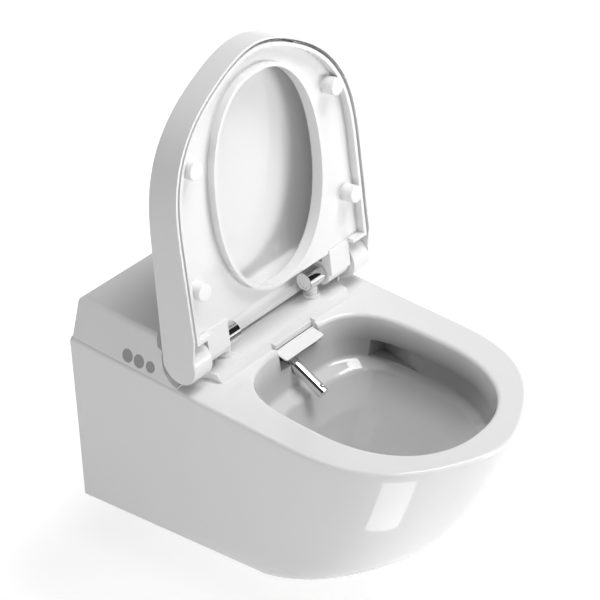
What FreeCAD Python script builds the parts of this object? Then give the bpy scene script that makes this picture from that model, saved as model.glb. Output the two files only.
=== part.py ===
import FreeCAD, Part
import math
import os

from FreeCAD import Vector

# Bidet toilet: a wall-hung ceramic pan with a washing unit let into its rear deck.
# Millimetres. +X right seen from the front, +Y into the wall, +Z up.
# The origin lies on the wall, midway between the two wall studs.

# Overall and pan
RIM_HEIGHT = 80.0
PAN_WIDTH = 371.0
PAN_LENGTH = 602.0
PAN_DEPTH = 281.0
PAN_FOOT_WIDTH = PAN_WIDTH * 0.9542
PAN_BACK_WIDTH = PAN_WIDTH * 1.0162
PAN_WALL = 12.0
NOSE_DEPTH = 233.0
NOSE_SWEEP = 71.0
CHIN_DEPTH = 285.0
SIDE_TAPER = 22.4
FOOT_TAPER = 18.8
NOSE_SIDE_POWER = 1.44
NOSE_FRONT_POWER = 3.05
CHIN_FALL_POWER = 1.236
CHIN_ROUND_POWER = 2.36
SWEEP_POWER = 6
RIM_EDGE_RADIUS = 5.5
BACK_FLANGE = 20.0
NOSE_TURN_SHARES = (0.0, 0.125, 0.25, 0.375, 0.5, 0.625)
SIDE_LEAD_SHARES = (0.24, 0.16, 0.08)
LEVEL_SHARES = (0.0, 0.1, 0.22, 0.34, 0.46, 0.58, 0.69, 0.79, 0.87, 0.93, 0.965)

# Bowl, trap and flush channel
OPENING_WIDTH = PAN_WIDTH * 0.7116
OPENING_CENTRE = 395.0
RIM_AT_NOSE = 45.5
OPENING_FRONT = PAN_LENGTH - OPENING_CENTRE - RIM_AT_NOSE
OPENING_REAR = 154.0
OPENING_FRONT_POWER = 2.25
OPENING_REAR_POWER = 3.65
BOWL_DEPTH = 214.0
BOWL_SHARES = (
    # depth, width, rear, front
    (0.0, 1.0, 1.0, 1.0),
    (0.06, 0.992, 0.99, 0.99),
    (0.2, 0.972, 0.952, 0.965),
    (0.3, 0.955, 0.925, 0.945),
    (0.345, 0.86, 0.78, 0.86),
    (0.56, 0.68, 0.66, 0.58),
    (0.8, 0.47, 0.6, 0.27),
    (1.0, 0.32, 0.57, 0.11),
)
TRAP_RADIUS = 31.0
TRAP_WALL = 8.0
TRAP_SUMP_FORWARD = 355.0
TRAP_FLOOR_ABOVE_FOOT = 14.0
TRAP_DIP_FORWARD = 292.0
TRAP_WEIR_FORWARD = 180.0
TRAP_WEIR_ABOVE_DIP = 114.0
TRAP_DROP_FORWARD = 92.0
FLUSH_RADIUS = 14.0
FLUSH_WALL = 7.0
FLUSH_TURN_FORWARD = 78.0
FLUSH_SIDE = PAN_WIDTH * 0.3342
FLUSH_SIDE_FORWARD = 170.0
FLUSH_EXIT_FORWARD = 286.0
FLUSH_EXIT_DEPTH = 51.0
NICHE_LENGTH = 90.0
NICHE_HEIGHT = 26.0
NICHE_REACH = 32.0
NICHE_TURN = 12.0

# Wall and pipe connections
STUD_SPACING = 180.0
STUD_HOLE_RADIUS = 6.3
BUSH_RADIUS = 14.0
BUSH_HEAD_RADIUS = 19.0
BUSH_HEAD = 4.0
INLET_ABOVE_STUDS = 35.0
INLET_BORE_RADIUS = 27.5
INLET_PIPE_RADIUS = 22.5
INLET_SEAL_LENGTH = 18.0
OUTLET_BELOW_STUDS = 100.0
OUTLET_BORE_RADIUS = 51.0
OUTLET_PIPE_RADIUS = 45.0
OUTLET_SEAL_LENGTH = 19.0
PRESS_CLEARANCE = 0.02

# Rear deck and washing unit tray
WELL_HALF_WIDTH = PAN_WIDTH * 0.32345
WELL_FRONT = 221.0
WELL_BACK = 34.0
SLOT_LEFT = PAN_WIDTH * 0.07817
SLOT_RIGHT = PAN_WIDTH * 0.14825
SLOT_DEPTH = 25.0
SLOT_DEEP_END = 2.0
SLOT_DEEP = 32.0
TRAY_CLEARANCE = 1.5
TRAY_WALL = 3.0
TRAY_FLANGE_OUT = 24.0
TRAY_SHALLOW = 12.0
TRAY_DEEP = 38.0
TRAY_POCKET_BACK = 150.0
GASKET_THICKNESS = 1.0
GASKET_WIDTH = 9.0
TRAY_BOLT_RADIUS = 2.5
TRAY_BOLT_HEAD_RADIUS = 5.5
TRAY_BOLT_HEAD = 3.2
TRAY_BOLT_LENGTH = 18.0
TRAY_BOLT_IN = 16.0
TRAY_BOLT_CLEARANCE = 0.25
PLATE_BOLT_FORWARD = 160.0
DECK_NUT_RADIUS = 4.6
DECK_NUT = 4.0

# Hinge line, plate and posts
AXIS_FORWARD = 200.0
AXIS_ABOVE_RIM = 42.0
OPEN_ANGLE = 98.0
PLATE_TOP = 12.0
PLATE_FRONT = 232.0
PLATE_BACK = 152.0
PLATE_HALF_WIDTH = PAN_WIDTH * 0.36927
PLATE_SLOPE = 7.0
PLATE_CORNER = 6.0
PLATE_SKIRT = 5.0
BARREL_RADIUS = 14.0
BARREL_WALL = 1.6
CAP_LENGTH = 3.0
CAP_RADIUS = 11.0
POST_OFFSET = PAN_WIDTH * 0.24528
BARREL_IN = 17.0
BARREL_OUT = 15.0
BARREL_INNER_END = POST_OFFSET - BARREL_IN
BARREL_OUTER_END = POST_OFFSET + BARREL_OUT
POST_NECK_RADIUS = 8.0
POST_COLLAR_RADIUS = 12.5
POST_COLLAR = 5.0
POST_STUD_RADIUS = 5.0
POST_STUD_LENGTH = 14.0
POST_NUT_RADIUS = 9.0
POST_NUT = 6.0
PIN_RADIUS = 5.0
RUNNING_CLEARANCE = 0.06
SIDE_GAP = 1.0

# Lid
LID_MARGIN = 1.0
LID_WIDTH = PAN_WIDTH - LID_MARGIN
LID_REACH = PAN_LENGTH - AXIS_FORWARD
LID_BARREL_RADIUS = 29.0
LID_NOSE_TOP = 46.0
LID_LIP = 3.4
LID_UNDERSIDE = 7.0
LID_UNDERSIDE_END = 45.0
LID_UNDERSIDE_RISE = 15.0
LID_TOP_WALL = 4.5
LID_EDGE_RADIUS = 2.0
KNUCKLE_LENGTH = 35.0
KNUCKLE_INNER_END = LID_WIDTH / 2 - KNUCKLE_LENGTH
PIN_COVER = 9.0
PIN_END = LID_WIDTH / 2 - PIN_COVER
LID_BACK_EDGE = 18.0
LID_BUFFER_RADIUS = 7.0
LID_BUFFER_OFFSET = LID_WIDTH * 0.25946
LID_BUFFER_BACK = 50.0
LID_BUFFER_REACH = LID_REACH - LID_BUFFER_BACK

# Seat ring
SEAT_INSET = 8.0
SEAT_UNDERSIDE = 8.0
SEAT_TOP = 29.0
SEAT_REAR_EDGE = 36.0
SEAT_LIP = 5.0
SEAT_DISH = 12.0
SEAT_OPENING_WIDTH = LID_WIDTH * 0.55676
SEAT_OPENING_REAR = 51.0
SEAT_AT_NOSE = 42.0
SEAT_OPENING_FRONT = LID_REACH - SEAT_AT_NOSE
SEAT_OPENING_POWER = 2.2
SEAT_EDGE_RADIUS = 5.0
SEAT_BARREL_RADIUS = 19.0
SEAT_SIDE_PLAY = 2.0
SEAT_BARREL_END = KNUCKLE_INNER_END - SEAT_SIDE_PLAY
SEAT_ARM_THICKNESS = 11.0
BUMPER_RADIUS = 12.5
BUMPER_STEM_RADIUS = 3.5
BUMPER_STEM = 4.0
BUMPER_RIM_GAP = 0.3
BUMPER_EDGE_RADIUS = 2.0
FRONT_BUMPER_IN = 43.0
FRONT_BUMPER_BACK = 122.0
REAR_BUMPER_IN = 28.0
FRONT_BUMPER_SIDE = LID_WIDTH / 2 - FRONT_BUMPER_IN
FRONT_BUMPER_REACH = LID_REACH - FRONT_BUMPER_BACK
REAR_BUMPER_SIDE = LID_WIDTH / 2 - REAR_BUMPER_IN
REAR_BUMPER_REACH = 110.0

# Housing
HOUSING_HEIGHT = 62.0
HOUSING_BACK = 3.0
HOUSING_OVERHANG = 1.0
HOUSING_LEAN = 35.0
HOUSING_FOOT_WIDTH = PAN_WIDTH + HOUSING_OVERHANG
HOUSING_TOP_WIDTH = HOUSING_FOOT_WIDTH - HOUSING_LEAN
HOUSING_WALL = 3.0
HOUSING_EDGE_RADIUS = 11.0
HOUSING_BACK_RADIUS = 10.0
HOUSING_FRONT = 148.0
HOUSING_HOLLOW_RADIUS = 39.5
HOUSING_TOE = 194.0
HOUSING_LEDGE_FORWARD = 151.0
HOUSING_LEDGE_HEIGHT = 45.0
HOUSING_FRONT_RADIUS = 6.0
HOUSING_BOSS_RADIUS = 4.5
HOUSING_SCREW_RADIUS = 1.75
HOUSING_SCREW_LENGTH = 16.0
HOUSING_SCREW_HEAD_RADIUS = 3.5
HOUSING_SCREW_HEAD = 2.4
BOSS_IN = 12.0
BOSS_SIDE = WELL_HALF_WIDTH - BOSS_IN
BOSS_FRONT = 146.0
BOSS_REAR = 52.0

# Side buttons
BUTTON_HEIGHT = 13.5
BUTTON_REAR_FORWARD = 103.4
BUTTON_PITCH = 20.9
BUTTON_LARGE_RADIUS = 9.0
BUTTON_SMALL_RADIUS = 7.7
BUTTON_CLEARANCE = 0.35
BUTTON_STEM = 12.5
BUTTON_FLANGE = 1.2
BUTTON_FLANGE_OUT = 1.2
BUTTON_FLANGE_IN = 2.0
BOARD_RIB = 3.0
BOARD_RIB_REACH = 16.0
BUTTON_TRAVEL = 1.2
BUTTON_REST_GAP = 0.3
PAD_THICKNESS = 2.0
PAD_RADIUS = 4.0
BUTTON_BOARD = 1.6

# Nozzle and flap
NOZZLE_SIDE = 0.0
NOZZLE_RADIUS = 8.5
NOZZLE_SLOPE = 25.6
NOZZLE_TIP_FORWARD = 298.0
NOZZLE_TIP_DEPTH = 61.0
NOZZLE_LENGTH = 163.0
NOZZLE_BORE_RADIUS = 5.5
NOZZLE_HEAD_LENGTH = 16.0
SPRAY_RADIUS = 0.9
SPRAY_PITCH = 3.4
NECK_WALL = 2.1
NECK_FRONT = 226.0
CHAMBER_RADIUS = 12.5
CHAMBER_FRONT = 159.0
CHAMBER_SHOULDER = 156.5
CHAMBER_BACK = 74.0
CHAMBER_END_WALL = 2.5
COLLAR_RADIUS = 9.9
COLLAR_LENGTH = 5.0
COLLAR_CLEARANCE = 0.08
SADDLE_HALF_WIDTH = 7.0
SADDLE_LENGTH = 12.0
FLAP_IN_LEFT = 1.5
FLAP_IN_RIGHT = 2.0
FLAP_LEFT = SLOT_LEFT - FLAP_IN_LEFT
FLAP_RIGHT = SLOT_RIGHT - FLAP_IN_RIGHT
FLAP_FORWARD = 234.0
FLAP_BELOW_RIM = 7.5
FLAP_LENGTH = 21.0
FLAP_THICKNESS = 1.8
FLAP_KNUCKLE_RADIUS = 2.2
FLAP_CORNER = 4.0
FLAP_SLOPE = 11.6
FLAP_PIN_RADIUS = 1.0
FLAP_LUG = 2.6
FLAP_HOOD = 2.0

# Water and electrical pieces
HEATER_LENGTH = 96.0
HEATER_WIDTH = WELL_HALF_WIDTH * 0.5167
HEATER_HEIGHT = 44.0
HEATER_SIDE = WELL_HALF_WIDTH * 0.55
HEATER_BACK = 46.0
HEATER_CORNER = 8.0
PUMP_RADIUS = 15.0
PUMP_LENGTH = WELL_HALF_WIDTH * 0.3833
PUMP_SIDE = WELL_HALF_WIDTH * 0.6167
PUMP_FORWARD = 118.0
VALVE_WIDTH = 26.0
VALVE_LENGTH = 34.0
VALVE_HEIGHT = 42.0
VALVE_SIDE = WELL_HALF_WIDTH * 0.3333
CONNECTOR_RADIUS = 10.4
CONNECTOR_BORE_RADIUS = 6.0
CONNECTOR_FORWARD = 61.5
CONNECTOR_LENGTH = 18.0
CONNECTOR_LIFT = 20.0
CONNECTOR_END = 2.0
CONNECTOR_ROOM_RADIUS = 15.0
WINDOW_LEFT = WELL_HALF_WIDTH * 0.2667
WINDOW_RIGHT = WELL_HALF_WIDTH * 0.8667
WINDOW_HEIGHT = 14.0
CONNECTOR_COLLAR_RADIUS = 13.0
SUPPLY_LENGTH = 78.0
SUPPLY_WIDTH = WELL_HALF_WIDTH * 0.3333
SUPPLY_HEIGHT = 26.0
SUPPLY_SIDE = WELL_HALF_WIDTH * 0.6833
BOARD_THICKNESS = 1.6
CHIP_HEIGHT = 3.0
STANDOFF_RADIUS = 3.0
GLAND_RADIUS = 8.0
GLAND_BORE_RADIUS = 3.5
GLAND_SIDE = 4.0
GLAND_FORWARD = 52.0
GLAND_BODY = 9.0
GLAND_COLLAR = 2.5
HOSE_RADIUS = 4.0
HOSE_BORE_RADIUS = 2.5
HOSE_BEND = 14.0
OVERRUN = 20.0

# Worked out from the sizes above
RIM = RIM_HEIGHT
FOOT = RIM - PAN_DEPTH
AXIS_Z = RIM + AXIS_ABOVE_RIM
AXIS = Vector(0, -AXIS_FORWARD, AXIS_Z)
DECK = RIM + GASKET_THICKNESS
TRAY_FLOOR = DECK - TRAY_SHALLOW
FLANGE_TOP = DECK + TRAY_WALL
PLATE_UP = RIM + PLATE_TOP
SLOPE = math.radians(NOZZLE_SLOPE)
ALONG = Vector(0, -math.cos(SLOPE), -math.sin(SLOPE))
ABOVE = Vector(0, -math.sin(SLOPE), math.cos(SLOPE))
NOZZLE_TIP = Vector(NOZZLE_SIDE, -NOZZLE_TIP_FORWARD, RIM - NOZZLE_TIP_DEPTH)


def box(low, high):
    size = [b - a for a, b in zip(low, high)]
    return Part.makeBox(size[0], size[1], size[2], Vector(*low))


def cylinder(radius, start, end):
    span = end - start
    return Part.makeCylinder(radius, span.Length, start, span)


def along_x(radius, x_low, x_high, y, z):
    return cylinder(radius, Vector(x_low, y, z), Vector(x_high, y, z))


def along_y(radius, y_low, y_high, x, z):
    return cylinder(radius, Vector(x, y_low, z), Vector(x, y_high, z))


def along_z(radius, z_low, z_high, x, y):
    return cylinder(radius, Vector(x, y, z_low), Vector(x, y, z_high))


def both_sides(shape):
    return [shape, shape.mirror(Vector(0, 0, 0), Vector(1, 0, 0))]


def opened(shape):
    """Turn a piece from its closed place to the raised one at rest."""
    turned = shape.copy()
    turned.rotate(AXIS, Vector(1, 0, 0), -OPEN_ANGLE)
    return turned


def spline(points):
    curve = Part.BSplineCurve()
    curve.interpolate(points)
    return curve.toShape()


def closed_curve(points):
    curve = Part.BSplineCurve()
    curve.interpolate(Points=points, PeriodicFlag=True)
    return Part.Wire([curve.toShape()])


def oval_point(turn, half, reach, power, z):
    """A point of a squared-off oval round the origin, at a turn from the right side."""
    c, s = math.cos(turn), math.sin(turn)
    x = half * math.copysign(abs(c) ** (2 / power), c)
    return Vector(x, reach * math.copysign(abs(s) ** (2 / power), s), z)


def line(start, end):
    return Part.LineSegment(start, end).toShape()


def prism_x(points, half_width):
    """A side outline in Y and Z, drawn across X. An entry of two points is an arc."""
    edges = []
    here = Vector(-half_width, *points[0])
    first = here
    for entry in points[1:]:
        if isinstance(entry[0], tuple):
            middle = Vector(-half_width, *entry[0])
            end = Vector(-half_width, *entry[1])
            edges.append(Part.Arc(here, middle, end).toShape())
        else:
            end = Vector(-half_width, *entry)
            edges.append(line(here, end))
        here = end
    edges.append(line(here, first))
    return Part.Face(Part.Wire(edges)).extrude(Vector(2 * half_width, 0, 0))


def chain(radius, points):
    """A channel of straight runs with a ball at each turn."""
    shape = None
    for start, end in zip(points, points[1:]):
        run = cylinder(radius, start, end)
        shape = run if shape is None else shape.fuse(run)
    for point in points[1:-1]:
        shape = shape.fuse(Part.makeSphere(radius, point))
    return shape


def d_wire(back, back_half, half_width, tangent, depth, z):
    """A level outline: straight back and sides, and the round nose of the pan, lid and seat."""
    corner = Vector(back_half, -back, z)
    side_end = Vector(half_width, -tangent, z)
    right = [side_end + (corner - side_end) * share for share in SIDE_LEAD_SHARES]
    for share in NOSE_TURN_SHARES:
        turn = math.pi / 2 * share
        x = half_width * math.cos(turn) ** (2 / NOSE_SIDE_POWER)
        y = -tangent - depth * math.sin(turn) ** (2 / NOSE_FRONT_POWER)
        right.append(Vector(x, y, z))
    left = [Vector(-p.x, p.y, z) for p in reversed(right)]
    tip = Vector(0, -tangent - depth, z)
    other_corner = Vector(-back_half, -back, z)
    edges = [line(other_corner, corner), line(corner, right[0])]
    edges += [spline(right + [tip] + left), line(left[-1], other_corner)]
    return Part.Wire(edges)


def pan_body(inset, back):
    """The outside of the pan, or its hollow when inset by the wall."""
    wires = []
    straight = PAN_LENGTH - NOSE_DEPTH
    for share in LEVEL_SHARES + (PAN_DEPTH / CHIN_DEPTH,):
        fall = (1 - share ** CHIN_FALL_POWER) ** (1 / CHIN_ROUND_POWER)
        sweep = NOSE_SWEEP * share ** 2
        round_out = math.sqrt(1 - share ** SWEEP_POWER)
        depth = NOSE_DEPTH * fall + sweep * round_out
        half = (PAN_WIDTH - 2 * SIDE_TAPER * share) / 2 - FOOT_TAPER * share ** 8
        foot_share = share * CHIN_DEPTH / PAN_DEPTH
        back_half = (PAN_BACK_WIDTH + (PAN_FOOT_WIDTH - PAN_BACK_WIDTH) * foot_share) / 2
        height = RIM - inset - (PAN_DEPTH - 2 * inset) * foot_share
        wires.append(
            d_wire(back, back_half - inset, half - inset, straight - sweep, depth - inset, height)
        )
    return Part.makeLoft(wires, True, False)


def bowl_wire(share, width, rear, front, grow):
    count = 28
    half = OPENING_WIDTH / 2 * width + grow
    z = RIM - (BOWL_DEPTH + grow) * share
    points = []
    for i in range(count):
        turn = 2 * math.pi * i / count
        if i <= count / 2:
            point = oval_point(turn, half, OPENING_REAR * rear + grow, OPENING_REAR_POWER, z)
        else:
            point = oval_point(turn, half, OPENING_FRONT * front + grow, OPENING_FRONT_POWER, z)
        points.append(point - Vector(0, OPENING_CENTRE, 0))
    return closed_curve(points)


def bowl_void(grow):
    body = Part.makeLoft([bowl_wire(*row, grow) for row in BOWL_SHARES], True, True)
    mouth = Part.Face(bowl_wire(*BOWL_SHARES[0], grow)).extrude(Vector(0, 0, OVERRUN))
    return body.fuse(mouth)


def trap_route():
    dip = FOOT + TRAP_FLOOR_ABOVE_FOOT + TRAP_RADIUS
    outlet = -OUTLET_BELOW_STUDS
    return [
        Vector(0, -TRAP_SUMP_FORWARD, RIM - BOWL_DEPTH + TRAP_RADIUS),
        Vector(0, -(TRAP_SUMP_FORWARD + TRAP_DIP_FORWARD) / 2, dip),
        Vector(0, -TRAP_DIP_FORWARD, dip),
        Vector(0, -TRAP_WEIR_FORWARD, dip + TRAP_WEIR_ABOVE_DIP),
        Vector(0, -TRAP_DROP_FORWARD, outlet),
        Vector(0, -BACK_FLANGE / 2, outlet),
    ]


def flush_route():
    exit_z = RIM - FLUSH_EXIT_DEPTH
    return [
        Vector(0, -BACK_FLANGE / 2, INLET_ABOVE_STUDS),
        Vector(0, -FLUSH_TURN_FORWARD, INLET_ABOVE_STUDS - FLUSH_RADIUS),
        Vector(FLUSH_SIDE, -FLUSH_SIDE_FORWARD, exit_z - FLUSH_RADIUS),
        Vector(FLUSH_SIDE, -FLUSH_EXIT_FORWARD, exit_z),
    ]


def niche(grow):
    """The flush outlet recess in the right wall of the bowl, or a larger one for the wall round it."""
    corner = Vector(FLUSH_SIDE - FLUSH_RADIUS, -FLUSH_EXIT_FORWARD, RIM - FLUSH_EXIT_DEPTH)
    low = corner - Vector(grow, NICHE_LENGTH + grow, NICHE_HEIGHT / 2 + grow)
    sides = [NICHE_REACH, NICHE_LENGTH, NICHE_HEIGHT]
    size = [side + 2 * grow for side in sides]
    recess = Part.makeBox(size[0], size[1], size[2], low)
    recess.rotate(corner, Vector(0, 0, 1), -NICHE_TURN)
    return recess


def unit_well():
    well = box(
        (-WELL_HALF_WIDTH, -WELL_FRONT, RIM - PAN_WALL - OVERRUN),
        (WELL_HALF_WIDTH, -WELL_BACK, RIM + OVERRUN),
    )
    slot = box(
        (-SLOT_LEFT, -OPENING_CENTRE, RIM - SLOT_DEPTH),
        (SLOT_RIGHT, -WELL_FRONT + OVERRUN, RIM + OVERRUN),
    )
    deep = box(
        (-SLOT_LEFT, -OPENING_CENTRE, RIM - SLOT_DEEP),
        (-SLOT_DEEP_END, -WELL_FRONT + OVERRUN, RIM + OVERRUN),
    )
    return well.fuse(slot).fuse(deep)


def top_edges(shape, z, limit):
    """Edges of a level face at z, left out where they run along the back."""
    found = []
    for edge in shape.Edges:
        bounds = edge.BoundBox
        if abs(bounds.ZMax - z) < PRESS_CLEARANCE and abs(bounds.ZMin - z) < PRESS_CLEARANCE:
            if bounds.YMin < limit:
                found.append(edge)
    return found


def stud_places():
    return [Vector(side * STUD_SPACING / 2, 0, 0) for side in (-1, 1)]


def ceramic_pan():
    body = pan_body(0, 0)
    body = body.makeFillet(RIM_EDGE_RADIUS, top_edges(body, RIM, -OVERRUN))
    hollow = pan_body(PAN_WALL, BACK_FLANGE)
    keep = bowl_void(PAN_WALL)
    keep = keep.fuse(chain(TRAP_RADIUS + TRAP_WALL, trap_route()))
    keep = keep.fuse(chain(FLUSH_RADIUS + FLUSH_WALL, flush_route()))
    keep = keep.fuse(niche(FLUSH_WALL))
    body = body.cut(hollow.cut(keep))
    bowl = bowl_void(0)
    body = body.cut(bowl)
    body = body.cut(unit_well())
    body = body.cut(chain(TRAP_RADIUS, trap_route()))
    body = body.cut(chain(FLUSH_RADIUS, flush_route()).fuse(niche(0)))
    cuts = [along_y(INLET_BORE_RADIUS, -BACK_FLANGE, OVERRUN, 0, INLET_ABOVE_STUDS)]
    cuts.append(along_y(OUTLET_BORE_RADIUS, -BACK_FLANGE, OVERRUN, 0, -OUTLET_BELOW_STUDS))
    for place in stud_places():
        cuts.append(along_y(BUSH_RADIUS, -BACK_FLANGE - OVERRUN, OVERRUN, place.x, place.z))
    cuts.append(service_window())
    cuts.append(nozzle_bar(NOZZLE_RADIUS + PAN_WALL / 3, -NOZZLE_TIP_FORWARD, -WELL_FRONT + OVERRUN))
    for x, y in tray_bolt_places() + plate_bolt_places():
        cuts.append(bolt_hole(x, y))
    for cut in cuts:
        body = body.cut(cut)
    return [max(body.Solids, key=lambda solid: solid.Volume)]


def service_window():
    """The opening in the back for the mains cord."""
    low = (WINDOW_LEFT, -BACK_FLANGE - OVERRUN, RIM - PAN_WALL / 2 - WINDOW_HEIGHT)
    return box(low, (WINDOW_RIGHT, OVERRUN, RIM - PAN_WALL / 2))


def wall_stud_bushes():
    solids = []
    for place in stud_places():
        sleeve = along_y(BUSH_RADIUS - PRESS_CLEARANCE, -BACK_FLANGE, 0, place.x, place.z)
        head = along_y(BUSH_HEAD_RADIUS, -BACK_FLANGE - BUSH_HEAD, -BACK_FLANGE, place.x, place.z)
        bore = along_y(STUD_HOLE_RADIUS, -BACK_FLANGE - OVERRUN, OVERRUN, place.x, place.z)
        solids.append(sleeve.fuse(head).cut(bore))
    return solids


def ring_seal(outer, inner, length, z):
    body = along_y(outer - PRESS_CLEARANCE, -length, 0, 0, z)
    return [body.cut(along_y(inner, -length - OVERRUN, OVERRUN, 0, z))]


def flush_inlet_seal():
    return ring_seal(INLET_BORE_RADIUS, INLET_PIPE_RADIUS, INLET_SEAL_LENGTH, INLET_ABOVE_STUDS)


def waste_outlet_seal():
    return ring_seal(OUTLET_BORE_RADIUS, OUTLET_PIPE_RADIUS, OUTLET_SEAL_LENGTH, -OUTLET_BELOW_STUDS)


def tray_bolt_places():
    side = WELL_HALF_WIDTH + TRAY_BOLT_IN
    return [(-side, -WELL_BACK), (side, -WELL_BACK)]


def plate_bolt_places():
    side = WELL_HALF_WIDTH + TRAY_BOLT_IN
    return [(-side, -PLATE_BOLT_FORWARD), (side, -PLATE_BOLT_FORWARD)]


def bolt_hole(x, y):
    radius = TRAY_BOLT_RADIUS + TRAY_BOLT_CLEARANCE
    return along_z(radius, RIM - PAN_WALL - OVERRUN, PLATE_UP + OVERRUN, x, y)


def deck_bolts(places, under_head):
    """Bolts through the deck, with the head's underside at a given height."""
    solids = []
    for x, y in places:
        shank = along_z(TRAY_BOLT_RADIUS, RIM - TRAY_BOLT_LENGTH, under_head, x, y)
        head = along_z(TRAY_BOLT_HEAD_RADIUS, under_head, under_head + TRAY_BOLT_HEAD, x, y)
        solids.append(shank.fuse(head))
    return solids


def flange_box(out, low, high):
    return box(
        (-WELL_HALF_WIDTH - out, -WELL_FRONT, low),
        (WELL_HALF_WIDTH + out, -WELL_BACK + out / 2, high),
    )


def plate_ends(clearance):
    """Blocks at the plate's waist, where the plate is solid and the tray's flange stops short."""
    inner = PLATE_HALF_WIDTH - PLATE_SKIRT - clearance
    rear = -PLATE_FRONT + PLATE_CORNER + plate_bend() * 3 / 2 + clearance
    outer = plate_shoulder() + PLATE_SKIRT
    return both_sides(box((inner, -PLATE_FRONT, RIM - OVERRUN), (outer, rear, PLATE_UP)))


def deck_gasket():
    ring = flange_box(GASKET_WIDTH, RIM, DECK)
    hole = box(
        (-WELL_HALF_WIDTH, -WELL_FRONT - OVERRUN, RIM - OVERRUN),
        (WELL_HALF_WIDTH, -WELL_BACK, DECK + OVERRUN),
    )
    return [ring.cut(hole)]


def pocket_x(clearance):
    return (-SLOT_LEFT + clearance, SLOT_RIGHT - clearance)


def unit_tray():
    edge = WELL_HALF_WIDTH - TRAY_CLEARANCE
    front = -WELL_FRONT + TRAY_CLEARANCE
    back = -WELL_BACK - TRAY_CLEARANCE
    left, right = pocket_x(TRAY_CLEARANCE)
    deep = DECK - TRAY_DEEP
    shell = flange_box(TRAY_FLANGE_OUT, DECK, FLANGE_TOP).cut(plate_ends(SIDE_GAP))
    shell = shell.fuse(box((-edge, front, TRAY_FLOOR), (edge, back, DECK)))
    shell = shell.fuse(box((left, front, deep), (right, -TRAY_POCKET_BACK, DECK)))
    wall = TRAY_WALL
    inside = box(
        (-edge + wall, front + wall, TRAY_FLOOR + wall), (edge - wall, back - wall, RIM + OVERRUN)
    )
    pocket = box(
        (left + wall, front + wall, deep + wall),
        (right - wall, -TRAY_POCKET_BACK - wall, RIM + OVERRUN),
    )
    shell = shell.cut(inside).cut(pocket)
    shell = shell.cut(nozzle_bar(neck_radius() + PRESS_CLEARANCE, -NECK_FRONT - OVERRUN, -CHAMBER_FRONT))
    for x, y in tray_bolt_places() + plate_bolt_places():
        shell = shell.cut(bolt_hole(x, y))
    for x in post_sides():
        shell = shell.cut(along_z(POST_NUT_RADIUS + SIDE_GAP, RIM - OVERRUN, RIM + OVERRUN, x, -AXIS_FORWARD))
    radius = GLAND_RADIUS + PRESS_CLEARANCE
    low, high = TRAY_FLOOR - OVERRUN, TRAY_FLOOR + OVERRUN / 2
    shell = shell.cut(along_z(radius, low, high, GLAND_SIDE, -GLAND_FORWARD))
    for x, y in boss_places():
        post = along_z(HOUSING_BOSS_RADIUS, TRAY_FLOOR, boss_top(), x, y)
        shell = shell.fuse(post).cut(along_z(HOUSING_SCREW_RADIUS, RIM - OVERRUN, boss_top(), x, y))
    return [shell]


def boss_top():
    return FLANGE_TOP + HOUSING_SCREW_LENGTH


def boss_places():
    return [(x, -y) for x in (-BOSS_SIDE, BOSS_SIDE) for y in (BOSS_REAR, BOSS_FRONT)]


def tray_bolts():
    return deck_bolts(tray_bolt_places(), FLANGE_TOP)


def plate_bolts():
    return deck_bolts(plate_bolt_places(), PLATE_UP)


def hex_nut(radius, bore, top, height, x, y):
    turns = [math.radians(60 * i) for i in range(7)]
    low = top - height
    points = [Vector(x + radius * math.cos(a), y + radius * math.sin(a), low) for a in turns]
    nut = Part.Face(Part.makePolygon(points)).extrude(Vector(0, 0, height))
    return nut.cut(along_z(bore, low - OVERRUN, top + OVERRUN, x, y))


def deck_nuts():
    nuts = []
    for x, y in tray_bolt_places() + plate_bolt_places():
        bore = TRAY_BOLT_RADIUS + PRESS_CLEARANCE
        nuts.append(hex_nut(DECK_NUT_RADIUS, bore, RIM - PAN_WALL, DECK_NUT, x, y))
    return nuts


def post_sides():
    return (-POST_OFFSET, POST_OFFSET)


def plate_bend():
    return (PLATE_FRONT - PLATE_BACK) / 4


def plate_shoulder():
    return PLATE_HALF_WIDTH + plate_bend()


def plate_outline(z):
    """Plan of the hinge plate: a long front, small corners and ends that sweep out."""
    half = PLATE_HALF_WIDTH
    front = -PLATE_FRONT
    corner = PLATE_CORNER
    bend = plate_bend()
    corner_mid = corner * (1 - math.sqrt(0.5))
    start = Vector(half - corner, front, z)
    turn = Vector(half, front + corner, z)
    middle = Vector(half - corner_mid, front + corner_mid, z)
    right = [Part.Arc(start, middle, turn).toShape()]
    shoulder = Vector(plate_shoulder(), turn.y + bend * 3 / 2, z)
    waist = Vector(half + bend / 4, turn.y + bend, z)
    right.append(spline([turn, waist, shoulder]))
    back = Vector(shoulder.x, -PLATE_BACK, z)
    right.append(line(shoulder, back))
    left = [edge.mirror(Vector(0, 0, 0), Vector(1, 0, 0)) for edge in right]
    across = [line(Vector(-start.x, front, z), start), line(back, Vector(-back.x, back.y, z))]
    return Part.Wire(Part.__sortEdges__(right + left + across))


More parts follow.
